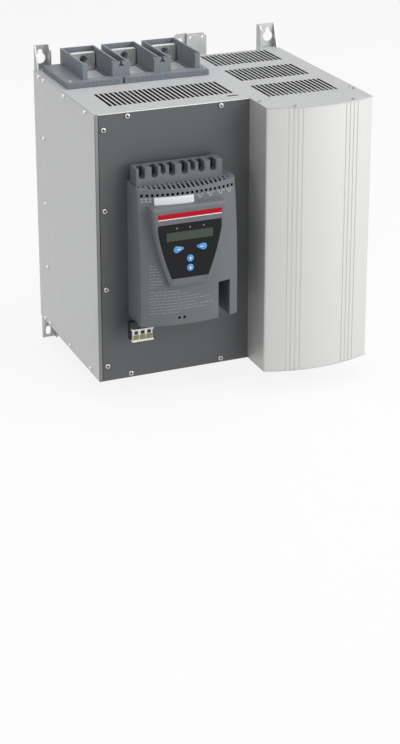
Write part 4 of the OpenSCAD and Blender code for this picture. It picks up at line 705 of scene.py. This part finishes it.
# The bezel's front falls back to its outer edge by drop * s * s, then the walls go to the unit
def makeBezel(look):
    def edge(width):
        return shieldLoop(look, look["top"] - width, look["low"] - width, look["bottom"] + width,
                          look["height"] - 2 * width, look["corner"])

    window = windowLoop(look, look["side"], look["sideLow"], 0.0)
    rings = [atDepth(edge(-look["draft"]), bezelFace + look["deep"])]
    rings += [atDepth(edge(look["edgeWide"] * (1 - s)), bezelFace + look["edgeDrop"] * s * s)
              for s in np.linspace(1, 0, look["edgeSteps"])]
    rings += [atDepth(inset(window, -look["lip"]), bezelFace),
              atDepth(window, bezelFace + look["lip"]), atDepth(window, bezelFace + look["sink"])]
    makePiece("keypadBezel", [ringShell(np.stack(rings))], "bezelPlastic",
              stands=["keypad_bezel"], sharp=look["sharp"])


# Black frame from the window's edge to the keypad panel: four loops joined round
def makePadFrame(look):
    over, back = look["frameOver"], bezelFace + look["frameBack"]
    outer = windowLoop(look, look["side"] - over, look["sideLow"] - over, -over)
    inner = windowLoop(look, look["padSide"], look["padSideLow"], look["padUnder"])
    rings = np.stack([atDepth(outer, back), atDepth(outer, bezelFace + look["frameEdge"]),
                      atDepth(inner, bezelFace), atDepth(inner, back)])
    faces = gridFaces(*rings.shape[:2], wrapRows=True, wrapColumns=True).tolist()
    makePiece("padFrame", [(rings, faces)], "padBlack", sharp=look["sharp"])


makeBezel(bezelLook)
makePadFrame(bezelLook)
print("bezel made")


# Keys: the outline rises straight, then shrinks to its middle along a quarter ellipse
keyLook = dict(
    upZ=214.5, downZ=199.5, roundR=5.6, roundSteps=28, sideX=22.0, sideZ=231.0, endR=5.4,
    endSteps=20, tipR=2.0, tipSteps=10, length=9.5, tilt=-8.0, out=1.6, deep=2.0, crown=1.0,
    crownSteps=6, crownIn=0.96, markIn=3.2, markUp=0.4, markHalf=2.6, markThick=0.7, markCorner=0.3,
    markLift=0.06, markBed=0.6, markRim=0.03, sharp=60,
    arrow=((-0.7, -2.4), (0.7, -2.4), (0.7, 0.2), (2.1, 0.2), (0.0, 2.6), (-2.1, 0.2), (-0.7, 0.2)))
middleX = bezelLook["middle"]
keyTop = bezelFace - keyLook["out"]


def keyShell(loop, look):
    centre = loop.mean(0)
    turn = np.linspace(0, math.pi / 2, look["crownSteps"])[:-1]
    shrink = 1 - look["crownIn"] * (1 - np.cos(turn))
    depth = keyTop + look["crown"] * (1 - np.sin(turn))
    rings = [atDepth(loop, bezelFace + look["deep"])]
    rings += [atDepth(centre + (loop - centre) * s, d) for s, d in zip(shrink, depth)]
    return ringShell(np.stack(rings))


def arcPoints(radius, turn):
    return radius * np.stack([np.cos(turn), np.sin(turn)], -1)


def circleLoop(z, look):
    turn = np.linspace(0, 2 * math.pi, look["roundSteps"], endpoint=False)
    return arcPoints(look["roundR"], turn) + [middleX, z]


# A large and a small arc joined by the straight lines that touch both
def teardropLoop(side, look):
    lean = math.asin((look["endR"] - look["tipR"]) / look["length"])
    big = np.linspace(-math.pi / 2 - lean, math.pi / 2 + lean, look["endSteps"])
    small = np.linspace(math.pi / 2 + lean, 1.5 * math.pi - lean, look["tipSteps"])
    loop = np.concatenate([arcPoints(look["endR"], big),
                           arcPoints(look["tipR"], small) - [look["length"], 0.0]])
    tilt = math.radians(look["tilt"])
    c, s = math.cos(tilt), math.sin(tilt)
    loop = loop @ np.array([[c, s], [-s, c]])
    if side < 0:
        loop = (loop * [-1, 1])[::-1]
    return loop + [middleX + side * look["sideX"], look["sideZ"]]


def arrowLoop(z, up, look):
    shape = np.array(look["arrow"])
    if not up:
        shape = (shape * [1, -1])[::-1]
    return shape + [middleX, z]


def barMark(side, look):
    x, z = middleX + side * (look["sideX"] - look["markIn"]), look["sideZ"] + look["markUp"]
    half, thick = look["markHalf"], look["markThick"]
    return rectangle(x - half, x + half, z - thick, z + thick, look["markCorner"], 2)


keyFaces = {
    "left": (teardropLoop(-1, keyLook), barMark(-1, keyLook)),
    "right": (teardropLoop(1, keyLook), barMark(1, keyLook)),
    "up": (circleLoop(keyLook["upZ"], keyLook), arrowLoop(keyLook["upZ"], True, keyLook)),
    "down": (circleLoop(keyLook["downZ"], keyLook), arrowLoop(keyLook["downZ"], False, keyLook)),
}
for side, (loop, mark) in keyFaces.items():
    makePiece("key" + side.title(), [keyShell(loop, keyLook)], "keyBlue",
              body="button_" + side, stands=["key_" + side], sharp=keyLook["sharp"])
    markShell = frontSlab(mark, keyTop - keyLook["markLift"], keyTop + keyLook["markBed"],
                          keyLook["markRim"], 1)
    makePiece("keyMark" + side.title(), [markShell], "markWhite",
              body="button_" + side)
print("keys made")


# Printed strip, the line under it and the lamps on the bezel.
# Boxes here and below are left, right, low and high.
stripLook = dict(
    strip=(72.5, 177.0, 281.8, 289.4), line=(72.5, 177.0, 280.2, 281.4), corner=0.3, lineCorner=0.2,
    lift=0.12, bed=0.4, rim=0.05, lampZ=265.0, lampHalf=0.8, lampX=(-21.5, 0.0, 22.5))


def flatPrint(x0, x1, z0, z1, corner):
    return frontSlab(rectangle(x0, x1, z0, z1, corner, 2), bezelFace - stripLook["lift"],
                     bezelFace + stripLook["bed"], stripLook["rim"], 1)


strip = flatPrint(*stripLook["strip"], stripLook["corner"])
line = flatPrint(*stripLook["line"], stripLook["lineCorner"])
lampHalf, lampZ = stripLook["lampHalf"], stripLook["lampZ"]
lamps = [flatPrint(middleX + x - lampHalf, middleX + x + lampHalf, lampZ - lampHalf,
                   lampZ + lampHalf, stripLook["corner"]) for x in stripLook["lampX"]]
makePiece("redStrip", [strip], "stripRed")
makePiece("stripLine", [line], "markWhite")
makePiece("statusLamps", lamps, "markGrey")
print("bezel trim made")

# Label, generic contact marks on both sides of it, and ruled dashes low on the front.
# A contact mark is a set of bars: from x to x, at the top, at the foot or over the full height.
labelLook = dict(box=(24.5, 86.6, 193.0, 206.0), lift=0.15, columns=12)
markLook = dict(
    right=(91.0, 109.0, 127.0, 143.0), left=(4.5, 10.5, 16.5), high=205.0, low=200.0, thick=0.75,
    lift=0.06, columns=3, rows=3, bed=0.25,
    rightBars=((0.0, 4.5, "top"), (8.0, 12.5, "top"), (3.9, 4.5, "full"), (8.0, 8.6, "full"),
               (4.5, 8.0, "foot")),
    leftBars=((0.0, 4.2, "top"), (0.0, 4.2, "foot"), (1.8, 2.4, "full")),
    dashes=(6.4, 2.4, 4.6, 8.0, 3.2, 5.6, 2.8, 7.2), repeats=4, shift=3, gap=1.7, rowStep=5.0,
    dashThick=0.9, dashLeast=1.2, ragged=(0.55, 0.12, 0.0, 0.30, 0.06, 0.22, 0.40),
    blocks=((13.0, 116.0, 21.0, 8), (13.0, 35.0, 64.0, 8)))


# A patch on the unit's curved front: a grid in X and Z laid on it and lifted a little,
# closed by the same grid set back and by a rim
def frontPatch(x0, x1, z0, z1, lift, columns):
    rows = markLook["rows"]
    gx, gz = np.meshgrid(np.linspace(x0, x1, columns), np.linspace(z0, z1, rows))
    skins = [unitPlace(gx, unitFront(gx, gz) + out, gz) for out in (lift, -markLook["bed"])]
    count = rows * columns
    spots = np.arange(count).reshape(rows, columns)
    rim = np.concatenate([spots[0], spots[1:, -1], spots[-1, -2::-1], spots[-2:0:-1, 0]])
    ahead = np.roll(rim, -1)
    faces = gridFaces(rows, columns)
    around = np.stack([rim, ahead, ahead + count, rim + count], -1)
    return np.stack(skins), np.concatenate([faces, faces[:, ::-1] + count, around]).tolist()


def makeMarks(name, boxes, finish):
    patches = [frontPatch(*box, markLook["lift"], markLook["columns"]) for box in boxes]
    makePiece(name, patches, finish)


label = frontPatch(*labelLook["box"], labelLook["lift"], labelLook["columns"])
makePiece("blankLabel", [label], "labelPaper")

low, high, thick = markLook["low"], markLook["high"], markLook["thick"]
levels = {"top": (high - thick, high), "foot": (low, low + thick), "full": (low, high)}
markBoxes = [(x + start, x + end, *levels[level]) for side in ("right", "left")
             for x in markLook[side] for start, end, level in markLook[side + "Bars"]]
makeMarks("contactMarks", markBoxes, "markGrey")

# Dash starts are running sums of the lengths and gaps. Each row starts further along the list,
# and its end is cut back by a share of the block's width.
dashBoxes = []
for left, right, low, count in markLook["blocks"]:
    for k in range(count):
        lengths = np.roll(np.tile(markLook["dashes"], markLook["repeats"]), -markLook["shift"] * k)
        starts = left + np.concatenate([[0], np.cumsum(lengths + markLook["gap"])[:-1]])
        cutBack = (right - left) * markLook["ragged"][k % len(markLook["ragged"])]
        ends = np.minimum(starts + lengths, right - cutBack)
        z = low + k * markLook["rowStep"]
        dashBoxes += [(a, b, z, z + markLook["dashThick"]) for a, b in zip(starts, ends)
                      if b - a > markLook["dashLeast"]]
makeMarks("ruledMarks", dashBoxes, "markFaint")
print("unit trim made")


# Pan-head screws. The height over the head is a dome less a cross-shaped recess, on rings and
# spokes. Share and rise give the dome: parts of the head's radius and of its height.
screwLook = dict(
    headR=4.2, headH=2.6, shankR=2.0, shankDeep=4.0, sideR=3.57, capR=2.8, spokes=24,
    share=(1.0, 1.0, 0.93, 0.78, 0.60, 0.45, 0.28, 0.10),
    rise=(0.0, 0.45, 0.72, 0.90, 0.98, 1.0, 1.0, 1.0), crossHalf=0.75, crossReach=0.75,
    crossDeep=1.3, sharp=40)
screwPlaces = dict(
    panelX=13.5, panelZ=(25.0, 410.0, 4), panelEdgeX=(52.5, 206.0), panelEdgeZ=(7.0, 428.0),
    sideY=(-28.0, -53.0, -156.0, -257.0), sideZ=(6.5, 428.5), middleY=-47.0,
    middleZ=(105.5, 217.5, 329.5), capIn=6.0, capLeftY=-326.0, capRightY=-311.0,
    capBow=(-46.0, 54.0), shroudX=(16.5, 244.5), shroudY=-138.5, shroudHigh=10.0)


# Out is the axis that the screw faces, 1 to 3, with its sign. Faces get the given finish,
# and those in the recess the second one, which paints the recess's shade black.
def screwShell(at, out, headR, look, finish=0):
    spin = np.linspace(0, 2 * math.pi, look["spokes"], endpoint=False)
    share = np.array(look["share"])[:, None]
    a, b = share * headR * np.cos(spin), share * headR * np.sin(spin)
    cross = (np.minimum(np.abs(a), np.abs(b)) < look["crossHalf"]) & (share < look["crossReach"])
    h = np.array(look["rise"])[:, None] * look["headH"] - cross * look["crossDeep"]
    axis = abs(out) - 1
    u, v = np.delete(np.eye(3), axis, 0)
    n = np.eye(3)[axis] * math.copysign(1, out)
    rings = a[..., None] * u + b[..., None] * v + h[..., None] * n
    shank = arcPoints(look["shankR"], spin) @ np.stack([u, v]) - n * look["shankDeep"]
    pit = np.concatenate([np.zeros((1, look["spokes"]), bool), cross])
    pit = pit & np.roll(pit, -1, 1)
    shadeFaces = np.concatenate([(pit[:-1] & pit[1:]).ravel(), [False, True]])
    points = place(*at) + np.concatenate([shank[None], rings]) * mm
    return ringShell(points), np.where(shadeFaces, 1, finish)


def makeScrews(name, screws, finish, stands):
    makePiece(name, [shell for shell, _ in screws], [finish, "holeBlack", "screwMattShaded"],
              stands=[stands], sharp=screwLook["sharp"],
              shades=np.concatenate([shade for _, shade in screws]))


panelRows = [(screwPlaces["panelX"], z) for z in np.linspace(*screwPlaces["panelZ"])]
panelRows += [(x, z) for x in screwPlaces["panelEdgeX"] for z in screwPlaces["panelEdgeZ"]]
panelScrews = [screwShell((x, panelFront, z), -2, screwLook["headR"], screwLook)
               for x, z in panelRows]
makeScrews("panelScrews", panelScrews, "screwSteel", "panel_screws")

sideRows = [(y, z) for y in screwPlaces["sideY"] for z in screwPlaces["sideZ"]]
sideRows += [(screwPlaces["middleY"], z) for z in screwPlaces["middleZ"]]
caseScrews = [screwShell((x, y, z), out, screwLook["sideR"], screwLook)
              for x, out in ((0.0, -1), (caseSize, 1)) for y, z in sideRows]
capIn = screwPlaces["capIn"]
capPlaces = [(coverMiddle + off, bowAxis - math.sqrt((bowRadius - capIn) ** 2 - off ** 2))
             for off in screwPlaces["capBow"]]
capPlaces += [(coverLook["left"] + capIn, screwPlaces["capLeftY"]),
              (coverLook["right"] - capIn, screwPlaces["capRightY"])]
shroudPlaces = [(x, screwPlaces["shroudY"]) for x in screwPlaces["shroudX"]]
# Cap and shroud screws take the third finish, a darker copy of the steel: painted shade against the
# top light
for places, lift in ((capPlaces, 0.0), (shroudPlaces, screwPlaces["shroudHigh"])):
    caseScrews += [screwShell((x, y, z), out, screwLook["capR"], screwLook, 2)
                   for z, out in ((caseSize + lift, 3), (-lift, -3)) for x, y in places]
makeScrews("caseScrews", caseScrews, "screwDull", "case_screws")
print("screws made")


# Folds at the dark panel: the side's front flange, darker than the side as painted shade, a black
# strip beside it that paints the shade of a gap, and the top plate's front lip, each a strip that
# stands proud of the panel and is bedded in it
foldLook = dict(
    sideFlange=dict(box=(-0.05, 5.0, -0.05, 435.05), proud=0.6, finish="zincEdge",
                    slot="zinc_sheet"),
    flangeGap=dict(box=(4.8, 6.0, 0.5, 433.4), proud=0.05, finish="holeBlack",
                   slot="black_plastic"),
    topLip=dict(box=(5.1, 252.5, 433.4, 435.05), proud=0.6, finish="zinc", slot="zinc_sheet"))
foldEdge = dict(bed=0.4, corner=0.3, rim=0.4, rimSteps=3)
for name, look in foldLook.items():
    loop = rectangle(*look["box"], foldEdge["corner"], 1)
    shell = frontSlab(loop, panelFront - look["proud"], panelFront + foldEdge["bed"],
                      min(foldEdge["rim"], look["proud"]), foldEdge["rimSteps"])
    makePiece(name, [shell], look["finish"])
print("folds made")


# Fine ribs along the front edge of each shroud's base, left out at the base's notch
ribLook = dict(
    left=12.0, right=249.0, pitch=4.2, width=2.0, proud=0.8, front=-145.0, low=0.8, high=9.3,
    notch=104.5, notchHalf=3.5, corner=0.3, bed=0.3, rim=0.3)
ribX = np.arange(ribLook["left"], ribLook["right"], ribLook["pitch"])
ribX = ribX[np.abs(ribX + ribLook["width"] / 2 - ribLook["notch"]) > ribLook["notchHalf"]]


def makeRibs(name, low, high, look):
    loops = [rectangle(x, x + look["width"], low, high, look["corner"], 1) for x in ribX]
    near, far = look["front"] - look["proud"], look["front"] + look["bed"]
    makePiece(name, [frontSlab(loop, near, far, look["rim"], 1) for loop in loops],
              "shroudPlastic")


makeRibs("lineShroudRibs", caseSize + ribLook["low"], caseSize + ribLook["high"], ribLook)
makeRibs("loadShroudRibs", -ribLook["high"], -ribLook["low"], ribLook)
print("ribs made")


# Plug: black linings in its three openings, which paint their shade, an olive clamp under each,
# and a black socket behind with a black header over the openings, both painted shade
plugLook = dict(
    left=42.5, width=32.0, count=3, top=105.2, poleCorner=0.5, poleRim=0.3,
    well=dict(margin=2.1, low=87.6, high=93.9, near=-337.7, far=-328.0),
    clamp=dict(margin=0.7, low=79.4, high=86.8, near=-339.3, far=-336.5),
    header=dict(over=0.1, low=96.55, corner=0.3, near=-338.8, far=-334.5, rim=0.2),
    socket=dict(over=1.7, low=75.8, corner=0.4, near=-333.5, far=-320.3, rim=0.3))
pole = plugLook["width"] / plugLook["count"]
poleX = plugLook["left"] + pole * np.arange(plugLook["count"])


def poleSlabs(margin, low, high, near, far):
    loops = [rectangle(x + margin, x + pole - margin, low, high, plugLook["poleCorner"], 2)
             for x in poleX]
    return [frontSlab(loop, near, far, plugLook["poleRim"], 2) for loop in loops]


def plugSlab(over, low, corner, near, far, rim):
    left, right = plugLook["left"] - over, plugLook["left"] + plugLook["width"] + over
    return frontSlab(rectangle(left, right, low, plugLook["top"], corner, 2), near, far, rim, 1)


behind = [plugSlab(**plugLook[part]) for part in ("header", "socket")]
makePiece("plugWellShade", poleSlabs(**plugLook["well"]), "blackPlastic")
makePiece("plugSocketShade", behind, "blackPlastic")
makePiece("plugInsert", poleSlabs(**plugLook["clamp"]), "plugOlive")
print("plug made")


# Floor, light and camera
stageLook = dict(
    floorHalf=16.0, floorSteps=3, floorShade=(0.86, 0.86, 0.86), floorRough=0.9, floorGrain=0.3,
    floorDrift=0.01, floorWhite=0.87, worldLight=0.15, skyWhite=1.0)


# Share of white that camera, glossy and transmission rays see
def whiteShare(tree, most):
    path = tree.nodes.new("ShaderNodeLightPath")
    kinds = ("Is Camera Ray", "Is Glossy Ray", "Is Transmission Ray")
    seen = [Wire(tree, path.outputs[kind]) for kind in kinds]
    rays = seen[0] + seen[1] + seen[2]
    return rays.maths("MINIMUM", rays, most)


floorMesh = bpy.data.meshes.new("floor")
ticks = np.linspace(-stageLook["floorHalf"], stageLook["floorHalf"], stageLook["floorSteps"])
across, along = np.meshgrid(ticks, ticks)
floorPoints = np.stack([across, along, np.full_like(across, cadBox[0][2])], -1).reshape(-1, 3)
floorMesh.from_pydata(floorPoints.tolist(), [], gridFaces(*across.shape).tolist())
floorPiece = addObject("floor", floorMesh)
floorFinish, floorShader, floorCoords = newFinish("paleFloor", Roughness=stageLook["floorRough"])
floorTree, floorShade = floorFinish.node_tree, stageLook["floorShade"]
floorTone = floorCoords.noise(stageLook["floorGrain"]).between(*toneRange)
floorTint = floorTone.blend(scaled(floorShade, 1 - stageLook["floorDrift"]),
                            scaled(floorShade, 1 + stageLook["floorDrift"]))
floorCoords.plug(floorTint, floorShader.inputs["Base Color"])
glow = floorCoords.node("Emission", None, {"Color": pureWhite, "Strength": 1.0})
share = whiteShare(floorTree, stageLook["floorWhite"])
lit = Wire(floorTree, floorShader.outputs[0])
mixed = floorCoords.node("MixShader", None, {0: share, 1: lit, 2: glow})
floorTree.links.new(mixed.socket, floorTree.nodes["Material Output"].inputs["Surface"])
floorMesh.materials.append(floorFinish)

world = bpy.data.worlds.new("studio")
bpy.context.scene.world = world
world.use_nodes = True
worldTree = world.node_tree
sky = Wire(worldTree, worldTree.nodes["Background"].outputs[0])
white = sky.node("Background", None, {"Color": pureWhite, "Strength": stageLook["skyWhite"]})
dim = sky.node("Background", None, {"Color": pureWhite, "Strength": stageLook["worldLight"]})
chosen = sky.node("MixShader", None, {0: whiteShare(worldTree, 1.0), 1: dim, 2: white})
worldTree.links.new(chosen.socket, worldTree.nodes["World Output"].inputs["Surface"])

lampLook = {
    "keyLight": dict(at=(4.55, -4.16, 1.15), aim=(0.1, -0.2, 0.0), size=8.0, power=600.0),
    "sideLight": dict(at=(-2.7, -1.1, 1.3), aim=(-0.2, -0.15, 0.0), size=1.0, power=13.0),
    "topLight": dict(at=(0.0, -0.6, 2.9), aim=(0.0, -0.4, 0.2), size=3.6, power=66.0),
}
for name, look in lampLook.items():
    lamp = bpy.data.lights.new(name, "AREA")
    lamp.size, lamp.energy = look["size"], look["power"]
    holder = addObject(name, lamp)
    holder.location = look["at"]
    towards = Vector(look["aim"]) - Vector(look["at"])
    holder.rotation_euler = towards.to_track_quat("-Z", "Y").to_euler()

# Turn and tilt are in degrees, from a camera that looks level along Y
cameraLook = dict(
    at=(-1.0688, -2.7573, 0.9521), turn=22.75, tilt=18.62, lens=87.29, sensor=36.0, shiftX=-0.0067,
    shiftY=-0.2258)
lens = bpy.data.cameras.new("photoCamera")
lens.sensor_fit, lens.sensor_height = "VERTICAL", cameraLook["sensor"]
lens.lens, lens.shift_x, lens.shift_y = (cameraLook[key] for key in ("lens", "shiftX", "shiftY"))
camera = addObject("photoCamera", lens)
camera.location = cameraLook["at"]
camera.rotation_euler = (math.radians(90 - cameraLook["tilt"]), 0,
                         math.radians(-cameraLook["turn"]))
bpy.context.scene.camera = camera
bpy.context.scene.view_settings.view_transform = "Standard"
print("stage made")
